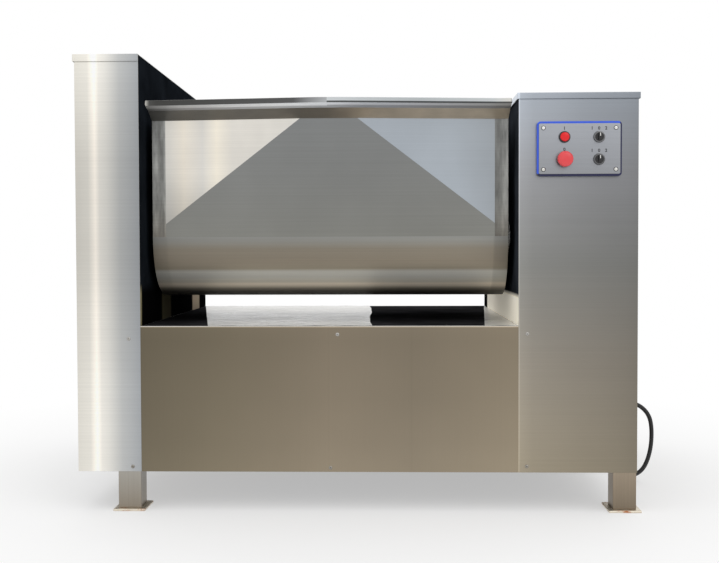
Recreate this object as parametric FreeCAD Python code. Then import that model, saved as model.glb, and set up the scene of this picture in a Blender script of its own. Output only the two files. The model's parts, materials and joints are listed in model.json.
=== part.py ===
"""Twin-shaft tilting trough meat mixer, modelled piece by piece.

Millimetres, +Z up, front towards -Y, the floor at Z = 0. The origin is the bottom centre of the
machine without its power cable. Two upright columns carry a folded double trough between them. The
left column holds the chain that turns the front mixing shaft, and two gears in a chamber at the left
end of the trough pass the turn on to the rear shaft. The right column holds the tilt drive, the
electrical box and the control plate.
"""
import FreeCAD, Part
import math
import os

V = FreeCAD.Vector

# Columns, bay and heights
LEFT_COLUMN_WIDTH = 166.0
BAY_WIDTH = 977.0
RIGHT_COLUMN_WIDTH = 304.0
COLUMN_DEPTH = 960.0
SKIRT_HEIGHT = 102.0
DECK_HEIGHT = 481.0
LEFT_TOP = 1183.0
RIGHT_TOP = 1076.0
SHEET = 1.5
CAP_OVERHANG = 4.0
LEFT_CAP_SKIRT = 19.0
RIGHT_CAP_SKIRT = 16.0
SEAT = 0.3
SHAFT_HOLE_GAP = 3.0
VENT_COUNT = 8
VENT_LENGTH = 120.0
VENT_WIDTH = 8.0
VENT_PITCH = 22.0

# Legs and base frame
LEG_TUBE = 60.0
LEG_WALL = 3.0
FOOT_OVERHANG = 12.0
FOOT_BACK_OVERHANG = 24.0
FOOT_THICKNESS = 6.0
RAIL_TUBE = 40.0
RAIL_WALL = 2.5
BEARING_PLATE = 12.0
BEARING_PLATE_HEIGHT = 300.0
SHELF_THICKNESS = 8.0
SHELF_EDGE_GAP = 10.0
BEARING_CORNER = 23.75

# Trough
TROUGH_GAP = 17.5
TROUGH_WALL = 3.0
SHAFT_SPACING = 290.0
RIDGE_OVERLAP = 15.0
SHAFT_HEIGHT = 712.0
WALL_FRONT = 73.0
WALL_TOP = 1022.0
END_INSET = 36.0
END_PLATE = 8.0
COVER_PLATE = 6.0
SPOUT_HALF = 72.0
SPOUT_LIP_HALF = 35.0
SPOUT_REACH = 36.0
FLARE_FORWARD = 42.0
FLARE_RISE = 22.0
SHELF_FORWARD = 31.0
SHELF_RISE = 8.5
LIP_HEIGHT = 11.0
FACET_FOOT = 35.0
REAR_HEM = 25.0
REAR_HEM_DROP = 12.0
SHAFT_PASSAGE_GAP = 1.5

# Mixing shafts, paddles and gears
SHAFT_RADIUS = 25.0
JOURNAL_CLEARANCE = 0.05
ARM_COUNT = 5
ARM_WIDTH = 36.0
ARM_THICKNESS = 12.0
BLADE_LENGTH = 74.0
BLADE_HEIGHT = 44.0
BLADE_THICKNESS = 8.0
BLADE_SKEW = 22.0
BLADE_WALL_GAP = 4.0
BLADE_END_GAP = 3.0
BLADE_TRIM = 6.0
ARM_FIRST_ANGLE = 30.0
ARM_STEP_ANGLE = 120.0
GEAR_TEETH = 29
GEAR_WIDTH = 24.0
ROOT_DEPTH = 1.25
BACKLASH = 0.4
PRESSURE_ANGLE = 20.0
SEAL_RADIUS = 42.0
SEAL_THICKNESS = 10.0

# Trunnions and their bearings
TRUNNION_RADIUS = 40.0
TRUNNION_FLANGE = 75.0
TRUNNION_FLANGE_THICKNESS = 12.0
LEFT_TRUNNION_REACH = 70.0
RIGHT_TRUNNION_REACH = 130.0
BEARING_RADIUS = 72.0
BEARING_FOOT = 95.0
BEARING_FOOT_THICKNESS = 14.0
BEARING_WIDTH = 40.0
SHAFT_BEARING_RADIUS = 55.0
SHAFT_BEARING_WIDTH = 14.0

# Chain drive
CHAIN_PITCH = 31.75
ROLLER_RADIUS = 9.5
TOOTH_REACH = 4.3
SEAT_HALF_WIDTH = 8.9
CREST_SHARE = 0.16
DRIVEN_TEETH = 26
DRIVER_TEETH = 13
DRIVEN_HUB = 50.0
DRIVER_HUB = 40.0
SPROCKET_WIDTH = 17.6
CHAIN_INNER_GAP = 19.0
LINK_PLATE = 4.0
LINK_HEIGHT = 28.0
PIN_RADIUS = 4.8
PIN_HEAD = 2.5
ROLLER_CLEARANCE = 1.5
CHAIN_PLANE_FROM_WALL = 100.0
DRIVER_HEIGHT_AIM = 300.0

# Mixing gearmotor
GEARBOX_LENGTH = 190.0
GEARBOX_WIDTH = 210.0
GEARBOX_HEIGHT = 230.0
MOTOR_RADIUS = 98.0
MOTOR_LENGTH = 290.0
MOTOR_FLANGE = 125.0
MOTOR_FLANGE_THICKNESS = 16.0
FIN_COUNT = 18
FIN_HEIGHT = 10.0
FIN_THICKNESS = 3.0
FAN_COVER_LENGTH = 60.0
GEARBOX_CORNER = 35.0

# Tilt drive
TILT_MODULE = 5.0
TILT_GEAR_TEETH = 48
TILT_PINION_TEETH = 16
TILT_GEAR_WIDTH = 30.0
TILT_GEAR_OFFSET = 12.0
TILT_BOX_LENGTH = 120.0
TILT_BOX_WIDTH = 130.0
TILT_BOX_HEIGHT = 150.0
TILT_MOTOR_RADIUS = 65.0
TILT_MOTOR_LENGTH = 190.0
PINION_SHAFT = 14.0
TILT_BOX_CORNER = 21.0

# Electrical box and controls
BOX_WIDTH = 150.0
BOX_DEPTH = 220.0
BOX_HEIGHT = 260.0
BOX_TOP_GAP = 60.0
BOX_LEG_LAP = 40.0
SWITCH_DEPTH = 20.0
PLATE_WIDTH = 206.0
PLATE_HEIGHT = 128.0
PLATE_THICKNESS = 2.0
PLATE_RADIUS = 4.0
GASKET_WIDTH = 214.0
GASKET_HEIGHT = 139.0
GASKET_THICKNESS = 12.0
GASKET_RADIUS = 9.0
PLATE_CENTRE_FROM_INNER = 152.0
PLATE_CENTRE_HEIGHT = 932.0
CONTROL_SHIFT = 5.3
CONTROL_RISE = 1.25
CONTROL_COLUMN = 43.7
CONTROL_ROW = 28.25
PANEL_HOLE = 11.2
SWITCH_BODY_RADIUS = 11.0
BEZEL_RADIUS = 14.8
BEZEL_THICKNESS = 6.0
KNOB_RADIUS = 11.0
KNOB_HEIGHT = 12.0
KNOB_SKIRT = 5.0
GRIP_HALF_WIDTH = 4.0
GRIP_HALF_LENGTH = 10.2
LENS_RADIUS = 13.2
LENS_FACE_RADIUS = 12.0
LENS_HEIGHT = 10.0
STOP_RADIUS = 20.0
STOP_HEIGHT = 13.0
STOP_TRAVEL = 4.0
STOP_REST_GAP = 1.0
STOP_BEVEL = 4.0
STEM_RADIUS = 7.0
STEM_CLEARANCE = 0.4

# Screws on the casings, drilled by hand: how far to the side of an edge and above the deck and the skirt
SCREW_RADIUS = 5.0
SCREW_FACE_RADIUS = 3.5
SCREW_HEAD = 3.0
LEFT_SCREWS = ((-31.0, -33.0), (-23.0, 13.0))
PANEL_SCREWS = ((23.0, -22.0), (4.0, 11.0))
RIGHT_SCREWS = ((22.5, -21.0), (21.5, 16.0))

# Power cable
CABLE_DIAMETER = 12.0
RUN_SHARE = 0.45
GLAND_FROM_FRONT = 330.0
GLAND_HEIGHT = 235.0
GLAND_LENGTH = 30.0
GLAND_NUT = 10.5
GLAND_RADIUS = 13.0
GLAND_DOME_RADIUS = 11.2
GLAND_LIP = 1.5
GLAND_HOLE = 9.1
GLAND_STEM_RADIUS = 8.8
GLAND_STEM = 12.0
COIL_RADIUS = 66.0
COIL_TURNS = 5
COIL_LAYER_TURNS = 2
COIL_SLACK = 2.0
PLUG_LENGTH = 62.0
PLUG_RADIUS = 22.0
PLUG_BOOT = 26.0
BOOT_RADIUS = 12.0
BOOT_LIP = 1.5
PIN_CIRCLE = 11.0
PIN_COUNT = 4
PLUG_PIN_RADIUS = 2.5
PLUG_PIN_LENGTH = 19.0

# Places worked out from the sizes above
TROUGH_RADIUS = SHAFT_SPACING / 2 + RIDGE_OVERLAP
GEAR_MODULE = SHAFT_SPACING / GEAR_TEETH
TOTAL_WIDTH = (CAP_OVERHANG + LEFT_COLUMN_WIDTH + BAY_WIDTH + RIGHT_COLUMN_WIDTH
               + FOOT_OVERHANG - SHEET)
LEFT_OUT = -TOTAL_WIDTH / 2 + CAP_OVERHANG
LEFT_IN = LEFT_OUT + LEFT_COLUMN_WIDTH
RIGHT_IN = LEFT_IN + BAY_WIDTH
RIGHT_OUT = RIGHT_IN + RIGHT_COLUMN_WIDTH
HALF_DEPTH = COLUMN_DEPTH / 2
FRAME_FRONT = -HALF_DEPTH + SHEET
TROUGH_LEFT = LEFT_IN + TROUGH_GAP
TROUGH_RIGHT = RIGHT_IN - TROUGH_GAP
TROUGH_MID = (TROUGH_LEFT + TROUGH_RIGHT) / 2
TROUGH_HALF = (TROUGH_RIGHT - TROUGH_LEFT) / 2
WALL_Y = -HALF_DEPTH + WALL_FRONT
FRONT_SHAFT_Y = WALL_Y + TROUGH_RADIUS
REAR_SHAFT_Y = FRONT_SHAFT_Y + SHAFT_SPACING
REAR_WALL_Y = REAR_SHAFT_Y + TROUGH_RADIUS
PARTITION_X = TROUGH_LEFT + END_INSET
RIGHT_PLATE_X = TROUGH_RIGHT - END_INSET
MIXING_LENGTH = RIGHT_PLATE_X - PARTITION_X - 2 * END_PLATE
ARM_PITCH = (MIXING_LENGTH - 2 * BLADE_END_GAP - BLADE_LENGTH) / (ARM_COUNT - 0.5)
LEFT_PLATE_X = LEFT_IN - SHEET
RIGHT_PLATE_IN = RIGHT_IN + SHEET
CHAIN_X = LEFT_IN - CHAIN_PLANE_FROM_WALL
TILT_GEAR_X = RIGHT_PLATE_IN + BEARING_PLATE + BEARING_WIDTH + TILT_GEAR_OFFSET
TILT_CENTRES = TILT_MODULE * (TILT_GEAR_TEETH + TILT_PINION_TEETH) / 2
PINION_Y = FRONT_SHAFT_Y + TILT_CENTRES
SHELF_TOP = SHAFT_HEIGHT - TILT_BOX_HEIGHT / 2
BEAM_TOP = SKIRT_HEIGHT + RAIL_TUBE + RAIL_TUBE
SPOUT_SLOPE = SPOUT_REACH / (TROUGH_HALF - END_INSET - SPOUT_HALF)
SPOUT_POINT = SPOUT_SLOPE * (TROUGH_HALF - END_INSET - SPOUT_LIP_HALF)
FRONT_REACH = WALL_Y - FLARE_FORWARD - SHELF_FORWARD - SPOUT_POINT
REAR_REACH = -FRAME_FRONT + FOOT_OVERHANG
ORIGIN_SHIFT = -(FRONT_REACH + REAR_REACH) / 2
PANEL_X = RIGHT_IN + PLATE_CENTRE_FROM_INNER
PANEL_Y = -HALF_DEPTH


def chain_centres():
    """The distance between the sprockets at which the chain closes on an even number of links."""
    mean = (DRIVEN_TEETH + DRIVER_TEETH) / 2
    spread = ((DRIVEN_TEETH - DRIVER_TEETH) / (2 * math.pi)) ** 2
    aim = (SHAFT_HEIGHT - DRIVER_HEIGHT_AIM) / CHAIN_PITCH
    links = 2 * round((2 * aim + mean + spread / aim) / 2)
    free = links - mean
    return CHAIN_PITCH * (free + math.sqrt(free ** 2 - 8 * spread)) / 4


DRIVER_HEIGHT = SHAFT_HEIGHT - chain_centres()


def box(x0, x1, y0, y1, z0, z1):
    """A block between two corners."""
    return Part.makeBox(x1 - x0, y1 - y0, z1 - z0, V(x0, y0, z0))


def rod_x(x0, x1, y, z, radius):
    """A round bar along X."""
    return Part.makeCylinder(radius, x1 - x0, V(x0, y, z), V(1, 0, 0))


def rod_y(x, y0, y1, z, radius):
    """A round bar along Y."""
    return Part.makeCylinder(radius, y1 - y0, V(x, y0, z), V(0, 1, 0))


def tube_box(x0, x1, y0, y1, z0, z1, wall, along):
    """A square tube with open ends along one axis."""
    inset = [wall, wall, wall]
    inset["XYZ".index(along)] = -1.0
    core = box(x0 + inset[0], x1 - inset[0], y0 + inset[1], y1 - inset[1], z0 + inset[2], z1 - inset[2])
    return box(x0, x1, y0, y1, z0, z1).cut(core)


def polyhedron(points, faces):
    """A solid from corner points and lists of their numbers."""
    shells = []
    for face in faces:
        ring = [points[i] for i in face]
        shells.append(Part.Face(Part.makePolygon(ring + ring[:1])))
    return Part.Solid(Part.makeShell(shells))


def prism_x(points, x0, x1):
    """A closed outline of (y, z) points pushed out along X."""
    ring = [V(x0, y, z) for y, z in points]
    return Part.Face(Part.makePolygon(ring + ring[:1])).extrude(V(x1 - x0, 0, 0))


def rounded_plate(width, height, radius, y0, y1, x, z):
    """A plate with rounded corners that faces -Y."""
    plate = box(x - width / 2, x + width / 2, y0, y1, z - height / 2, z + height / 2)
    corners = [e for e in plate.Edges if abs(e.tangentAt(e.FirstParameter).y) > 0.99]
    return plate.makeFillet(radius, corners)


# Legs, posts and rails

def leg_spans():
    """The X span, the side and the inside top of each pair of legs."""
    left = (LEFT_PLATE_X - LEG_TUBE, LEFT_PLATE_X, LEFT_TOP - SHEET - SEAT)
    right = (RIGHT_OUT - SHEET - LEG_TUBE, RIGHT_OUT - SHEET, RIGHT_TOP - SHEET - SEAT)
    return {"left": left, "right": right}


def legs(parts):
    """Four square tubes that run up inside the columns, and their foot plates."""
    feet = []
    for side, (x0, x1, top) in leg_spans().items():
        for end, sign in (("front", 1), ("rear", -1)):
            near = sign * FRAME_FRONT
            far = near + sign * LEG_TUBE
            y0, y1 = sorted((near, far))
            parts[f"leg_{end}_{side}"] = tube_box(x0, x1, y0, y1, FOOT_THICKNESS, top, LEG_WALL, "Z")
            out, back = sorted((near - sign * FOOT_OVERHANG, far + sign * FOOT_BACK_OVERHANG))
            feet.append(box(x0 - FOOT_OVERHANG, x1 + FOOT_OVERHANG, out, back, 0, FOOT_THICKNESS))
    parts["foot_plates"] = Part.makeCompound(feet)


def right_posts(parts):
    """Two posts on the lower rails that carry the right bearing plate."""
    x0 = RIGHT_PLATE_IN
    posts = []
    for sign in (1, -1):
        y0, y1 = sorted((sign * FRAME_FRONT, sign * (FRAME_FRONT + LEG_TUBE)))
        posts.append(tube_box(x0, x0 + LEG_TUBE, y0, y1, SKIRT_HEIGHT + RAIL_TUBE,
                              RIGHT_TOP - SHEET - SEAT, LEG_WALL, "Z"))
    parts["right_posts"] = Part.makeCompound(posts)


def rails(parts):
    """Lower rails between the legs, deck rails under the top plate, and cross members."""
    spans = leg_spans()
    x0 = spans["left"][1]
    x1 = spans["right"][0]
    low = SKIRT_HEIGHT
    deck = DECK_HEIGHT - SHEET
    lows, decks = [], []
    for sign in (1, -1):
        y0, y1 = sorted((sign * FRAME_FRONT, sign * (FRAME_FRONT + RAIL_TUBE)))
        lows.append(tube_box(x0, x1, y0, y1, low, low + RAIL_TUBE, RAIL_WALL, "X"))
        decks.append(tube_box(x0, RIGHT_PLATE_IN, y0, y1, deck - RAIL_TUBE, deck, RAIL_WALL, "X"))
    parts["base_rails"] = Part.makeCompound(lows)
    parts["deck_rails"] = Part.makeCompound(decks)
    inner = -FRAME_FRONT - LEG_TUBE
    cross = []
    for side in spans.values():
        middle = (side[0] + side[1]) / 2
        cross.append(tube_box(middle - RAIL_TUBE / 2, middle + RAIL_TUBE / 2, -inner, inner,
                              low, low + RAIL_TUBE, RAIL_WALL, "Y"))
    parts["cross_rails"] = Part.makeCompound(cross)
    beams = []
    reach = -FRAME_FRONT
    for x in (gearbox_left() + RAIL_TUBE, gearbox_left() + GEARBOX_LENGTH - RAIL_TUBE / 2):
        beams.append(tube_box(x - RAIL_TUBE / 2, x + RAIL_TUBE / 2, -reach, reach,
                              low + RAIL_TUBE, BEAM_TOP, RAIL_WALL, "Y"))
    parts["drive_beams"] = Part.makeCompound(beams)


def bearing_supports(parts):
    """Plates between the posts, and a flanged bearing on each."""
    side = -FRAME_FRONT - LEG_TUBE
    low = SHAFT_HEIGHT - BEARING_PLATE_HEIGHT / 2
    high = SHAFT_HEIGHT + BEARING_PLATE_HEIGHT / 2
    hole = TRUNNION_RADIUS + SHAFT_HOLE_GAP
    for name, x in (("left", LEFT_PLATE_X - BEARING_PLATE), ("right", RIGHT_PLATE_IN)):
        plate = box(x, x + BEARING_PLATE, -side, side, low, high)
        parts[f"{name}_bearing_plate"] = plate.cut(rod_x(x - 1, x + BEARING_PLATE + 1,
                                                         FRONT_SHAFT_Y, SHAFT_HEIGHT, hole))
        if name == "left":
            start, foot = x - BEARING_WIDTH, x - BEARING_FOOT_THICKNESS
        else:
            start, foot = x + BEARING_PLATE, x + BEARING_PLATE
        body = rod_x(start, start + BEARING_WIDTH, FRONT_SHAFT_Y, SHAFT_HEIGHT, BEARING_RADIUS)
        flange = box(foot, foot + BEARING_FOOT_THICKNESS, FRONT_SHAFT_Y - BEARING_FOOT,
                     FRONT_SHAFT_Y + BEARING_FOOT, SHAFT_HEIGHT - BEARING_FOOT, SHAFT_HEIGHT + BEARING_FOOT)
        corners = [e for e in flange.Edges if abs(e.tangentAt(e.FirstParameter).x) > 0.99]
        flange = flange.makeFillet(BEARING_CORNER, corners)
        bore = rod_x(start - 1, start + BEARING_WIDTH + 1, FRONT_SHAFT_Y, SHAFT_HEIGHT,
                     TRUNNION_RADIUS + JOURNAL_CLEARANCE)
        parts[f"{name}_trunnion_bearing"] = body.fuse(flange).cut(bore)
    depth = (FRONT_SHAFT_Y + BEARING_FOOT + SHELF_EDGE_GAP, PINION_Y + TILT_BOX_WIDTH)
    parts["tilt_shelf"] = box(RIGHT_PLATE_IN + BEARING_PLATE, RIGHT_OUT - SHEET, depth[0], depth[1],
                              SHELF_TOP - SHELF_THICKNESS, SHELF_TOP)


# Sheet cladding

def wrap(outer_x, inner_x, bottom, top):
    """A folded casing: front, outer side and rear in one sheet, open towards the bay."""
    x0, x1 = sorted((outer_x, inner_x))
    shell = box(x0, x1, -HALF_DEPTH, HALF_DEPTH, bottom, top)
    if outer_x < inner_x:
        core = box(x0 + SHEET, x1 + SHEET, -HALF_DEPTH + SHEET, HALF_DEPTH - SHEET, bottom - 1, top + 1)
    else:
        core = box(x0 - SHEET, x1 - SHEET, -HALF_DEPTH + SHEET, HALF_DEPTH - SHEET, bottom - 1, top + 1)
    return shell.cut(core)


def cap(x0, x1, top, skirt, inner_skirt):
    """A folded lid with a skirt all round, or one that ends flush at its right side."""
    edge = CAP_OVERHANG
    right = x1 + edge if inner_skirt else x1
    lid = box(x0 - edge, right, -HALF_DEPTH - edge, HALF_DEPTH + edge, top - skirt, top)
    room = edge - SHEET
    core_right = x1 + room if inner_skirt else x1 + 1
    core = box(x0 - room, core_right, -HALF_DEPTH - room, HALF_DEPTH + room, top - skirt - 1, top - SHEET)
    return lid.cut(core)


def columns(parts):
    """Both columns' casings, inner panels and caps."""
    left_top = LEFT_TOP - SHEET
    right_top = RIGHT_TOP - SHEET
    parts["left_casing"] = wrap(LEFT_OUT, LEFT_IN, SKIRT_HEIGHT, left_top)
    parts["left_cap"] = cap(LEFT_OUT, LEFT_IN, LEFT_TOP, LEFT_CAP_SKIRT, False)
    parts["right_cap"] = cap(RIGHT_IN, RIGHT_OUT, RIGHT_TOP, RIGHT_CAP_SKIRT, True)
    casing = wrap(RIGHT_OUT, RIGHT_IN, SKIRT_HEIGHT, right_top)
    for cut in control_holes() + [gland_hole()]:
        casing = casing.cut(cut)
    parts["right_casing"] = casing
    hole = TRUNNION_RADIUS + SHAFT_HOLE_GAP
    inside = HALF_DEPTH - SHEET
    left_panel = box(LEFT_IN - SHEET, LEFT_IN, -inside, inside, DECK_HEIGHT, left_top)
    right_panel = box(RIGHT_IN, RIGHT_IN + SHEET, -inside, inside, DECK_HEIGHT, right_top)
    bore = rod_x(LEFT_IN - LEG_TUBE, RIGHT_IN + LEG_TUBE, FRONT_SHAFT_Y, SHAFT_HEIGHT, hole)
    parts["left_inner_panel"] = left_panel.cut(bore)
    parts["right_inner_panel"] = right_panel.cut(bore)


def motor_vents(y):
    """A stack of round-ended slots behind the mixing motor."""
    middle = gearbox_left() + GEARBOX_LENGTH + MOTOR_LENGTH / 2
    straight = (VENT_LENGTH - VENT_WIDTH) / 2
    slots = []
    for i in range(VENT_COUNT):
        z = DRIVER_HEIGHT + (i - (VENT_COUNT - 1) / 2) * VENT_PITCH
        half = VENT_WIDTH / 2
        slot = box(middle - straight, middle + straight, y - 1, y + SHEET + 1, z - half, z + half)
        ends = [rod_y(middle + side * straight, y - 1, y + SHEET + 1, z, half) for side in (-1, 1)]
        slots.append(slot.fuse(ends))
    return slots


def base_cladding(parts):
    """The cabinet between the columns: front and rear panels and the deck."""
    inside = HALF_DEPTH - SHEET
    for end, y in (("front", -HALF_DEPTH), ("rear", inside)):
        parts[f"base_{end}_panel"] = box(LEFT_IN, RIGHT_IN, y, y + SHEET, SKIRT_HEIGHT, DECK_HEIGHT - SHEET)
    parts["base_rear_panel"] = parts["base_rear_panel"].cut(motor_vents(inside))
    under = DECK_HEIGHT - SHEET
    parts["base_top_plate"] = box(LEFT_IN, RIGHT_IN, -HALF_DEPTH, HALF_DEPTH, under, DECK_HEIGHT)


def screw(x, z):
    """A low tapered screw head on the front."""
    return Part.makeCone(SCREW_RADIUS, SCREW_FACE_RADIUS, SCREW_HEAD, V(x, -HALF_DEPTH, z), V(0, -1, 0))


def casing_screws(parts):
    """Screw heads along the inner edges of both casings and the middle of the base panel."""
    heads = []
    middle = (LEFT_IN + RIGHT_IN) / 2
    for edge, pair in ((LEFT_IN, LEFT_SCREWS), (middle, PANEL_SCREWS), (RIGHT_IN, RIGHT_SCREWS)):
        for level, (aside, above) in zip((DECK_HEIGHT, SKIRT_HEIGHT), pair):
            heads.append(screw(edge + aside, level + above))
    parts["casing_screws"] = Part.makeCompound(heads)


# Trough

def double_u(radius, top):
    """The closed outline of the double trough, as a face at X = 0."""
    z = SHAFT_HEIGHT
    ridge = z - math.sqrt(radius ** 2 - (SHAFT_SPACING / 2) ** 2)
    middle = (FRONT_SHAFT_Y + REAR_SHAFT_Y) / 2
    front = V(0, FRONT_SHAFT_Y - radius, z)
    rear = V(0, REAR_SHAFT_Y + radius, z)
    valley = V(0, middle, ridge)
    edges = [
        Part.LineSegment(V(0, front.y, top), front).toShape(),
        Part.Arc(front, V(0, FRONT_SHAFT_Y, z - radius), valley).toShape(),
        Part.Arc(valley, V(0, REAR_SHAFT_Y, z - radius), rear).toShape(),
        Part.LineSegment(rear, V(0, rear.y, top)).toShape(),
        Part.LineSegment(V(0, rear.y, top), V(0, front.y, top)).toShape(),
    ]
    return Part.Face(Part.Wire(edges))


def trough_block(radius, top, x0, x1):
    """The double trough's outline pushed out along X."""
    face = double_u(radius, top)
    face.translate(V(x0, 0, 0))
    return face.extrude(V(x1 - x0, 0, 0))


def spout_wedge(shift, top):
    """The folded facets that lean forward to the spout, moved back by a wall for the inside."""
    half = TROUGH_HALF - END_INSET
    y0 = WALL_Y + shift
    low = SHAFT_HEIGHT + FACET_FOOT
    points = [
        V(TROUGH_MID - half, y0, low), V(TROUGH_MID - half, y0, top),
        V(TROUGH_MID - SPOUT_HALF, y0 - SPOUT_REACH, top),
        V(TROUGH_MID + SPOUT_HALF, y0 - SPOUT_REACH, top),
        V(TROUGH_MID + half, y0, top), V(TROUGH_MID + half, y0, low),
    ]
    faces = [(0, 1, 2), (3, 4, 5), (0, 2, 3, 5), (1, 4, 3, 2), (0, 5, 4, 1)]
    return polyhedron(points, faces)


def rim_line(forward, rise, corner):
    """One bend line of the spout rim, seen from above."""
    half = TROUGH_HALF - END_INSET
    tip = SPOUT_SLOPE * (half - corner)
    y = WALL_Y - forward
    z = WALL_TOP + rise
    return [
        V(TROUGH_LEFT, y, z), V(TROUGH_MID - half, y, z), V(TROUGH_MID - corner, y - tip, z),
        V(TROUGH_MID + corner, y - tip, z), V(TROUGH_MID + half, y, z), V(TROUGH_RIGHT, y, z),
    ]


def folded_strip(line_a, line_b, offset):
    """A strip of sheet between two bend lines, thick by the offset."""
    strip = None
    for i in range(len(line_a) - 1):
        ring = [line_a[i], line_a[i + 1], line_b[i + 1], line_b[i]]
        piece = Part.Face(Part.makePolygon(ring + ring[:1])).extrude(offset)
        strip = piece if strip is None else strip.fuse(piece)
    return strip


def trough_shell(parts):
    """The folded shell with its spout facets and the hem along its rear edge."""
    outer = trough_block(TROUGH_RADIUS, WALL_TOP, TROUGH_LEFT, TROUGH_RIGHT)
    outer = outer.fuse(spout_wedge(0.0, WALL_TOP))
    inner = trough_block(TROUGH_RADIUS - TROUGH_WALL, WALL_TOP + 1, TROUGH_LEFT - 1, TROUGH_RIGHT + 1)
    lift = spout_wedge(TROUGH_WALL, WALL_TOP)
    shell = outer.cut(inner).cut(lift)
    hem = box(TROUGH_LEFT, TROUGH_RIGHT, REAR_WALL_Y, REAR_WALL_Y + REAR_HEM,
              WALL_TOP - TROUGH_WALL, WALL_TOP)
    drop = box(TROUGH_LEFT, TROUGH_RIGHT, REAR_WALL_Y + REAR_HEM - TROUGH_WALL, REAR_WALL_Y + REAR_HEM,
               WALL_TOP - REAR_HEM_DROP, WALL_TOP)
    parts["trough_shell"] = shell.fuse([hem, drop]).removeSplitter()


def spout_rim(parts):
    """The folded rim along the front: flare, shelf and upright lip, pointed in the middle."""
    root = rim_line(0.0, 0.0, SPOUT_HALF)
    flare = rim_line(FLARE_FORWARD, FLARE_RISE, (SPOUT_HALF + SPOUT_LIP_HALF) / 2)
    shelf = rim_line(FLARE_FORWARD + SHELF_FORWARD, FLARE_RISE + SHELF_RISE, SPOUT_LIP_HALF)
    lip = rim_line(FLARE_FORWARD + SHELF_FORWARD, FLARE_RISE + SHELF_RISE + LIP_HEIGHT, SPOUT_LIP_HALF)
    down = V(0, 0, -TROUGH_WALL)
    back = V(0, TROUGH_WALL, 0)
    rim = folded_strip(root, flare, down)
    rim = rim.fuse(folded_strip(flare, shelf, down))
    rim = rim.fuse(folded_strip(shelf, lip, back))
    parts["spout_rim"] = rim.removeSplitter()


def end_plate(x0, thickness, holes):
    """A plate that fills the trough's section at one end."""
    inside = TROUGH_RADIUS - TROUGH_WALL
    plate = trough_block(inside, WALL_TOP, x0, x0 + thickness)
    for y, radius in holes:
        plate = plate.cut(rod_x(x0 - 1, x0 + thickness + 1, y, SHAFT_HEIGHT, radius))
    return plate


def trough_ends(parts):
    """The gear chamber's cover and partition, and the right end plate, with their bearings."""
    run = SHAFT_RADIUS + JOURNAL_CLEARANCE
    wide = SHAFT_RADIUS + SHAFT_PASSAGE_GAP
    parts["gear_chamber_cover"] = end_plate(TROUGH_LEFT, COVER_PLATE,
                                            [(FRONT_SHAFT_Y, wide), (REAR_SHAFT_Y, wide)])
    parts["gear_partition"] = end_plate(PARTITION_X, END_PLATE,
                                        [(FRONT_SHAFT_Y, wide), (REAR_SHAFT_Y, wide)])
    parts["right_end_plate"] = end_plate(RIGHT_PLATE_X - END_PLATE, END_PLATE,
                                         [(FRONT_SHAFT_Y, wide), (REAR_SHAFT_Y, wide)])
    bearings = []
    for x in (TROUGH_LEFT - SHAFT_BEARING_WIDTH, RIGHT_PLATE_X):
        ring = rod_x(x, x + SHAFT_BEARING_WIDTH, REAR_SHAFT_Y, SHAFT_HEIGHT, SHAFT_BEARING_RADIUS)
        bearings.append(ring.cut(rod_x(x - 1, x + SHAFT_BEARING_WIDTH + 1, REAR_SHAFT_Y, SHAFT_HEIGHT, run)))
    parts["rear_shaft_bearings"] = Part.makeCompound(bearings)
    seals = []
    for y in (FRONT_SHAFT_Y, REAR_SHAFT_Y):
        for x in (PARTITION_X + END_PLATE, RIGHT_PLATE_X - END_PLATE - SEAL_THICKNESS):
            ring = rod_x(x, x + SEAL_THICKNESS, y, SHAFT_HEIGHT, SEAL_RADIUS)
            seals.append(ring.cut(rod_x(x - 1, x + SEAL_THICKNESS + 1, y, SHAFT_HEIGHT, run)))
    parts["shaft_seals"] = Part.makeCompound(seals)


def trunnions(parts):
    """The hollow left trunnion and the solid right one that carries the tilt gear."""
    y, z = FRONT_SHAFT_Y, SHAFT_HEIGHT
    run = SHAFT_RADIUS + JOURNAL_CLEARANCE
    left_end = LEFT_IN - LEFT_TRUNNION_REACH
    flange = rod_x(TROUGH_LEFT - TRUNNION_FLANGE_THICKNESS, TROUGH_LEFT, y, z, TRUNNION_FLANGE)
    sleeve = rod_x(left_end, TROUGH_LEFT, y, z, TRUNNION_RADIUS)
    parts["left_trunnion"] = flange.fuse(sleeve).cut(rod_x(left_end - 1, TROUGH_LEFT + 1, y, z, run))
    right_end = RIGHT_IN + RIGHT_TRUNNION_REACH
    flange = rod_x(RIGHT_PLATE_X, RIGHT_PLATE_X + TRUNNION_FLANGE_THICKNESS, y, z, TRUNNION_FLANGE)
    bar = rod_x(RIGHT_PLATE_X, right_end, y, z, TRUNNION_RADIUS)
    seat = rod_x(RIGHT_PLATE_X - 1, RIGHT_PLATE_X + END_INSET, y, z, run)
    parts["right_trunnion"] = flange.fuse(bar).cut(seat)


# Gears and agitators

def involute(angle):
    """The involute function of a pressure angle."""
    return math.tan(angle) - angle


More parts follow.
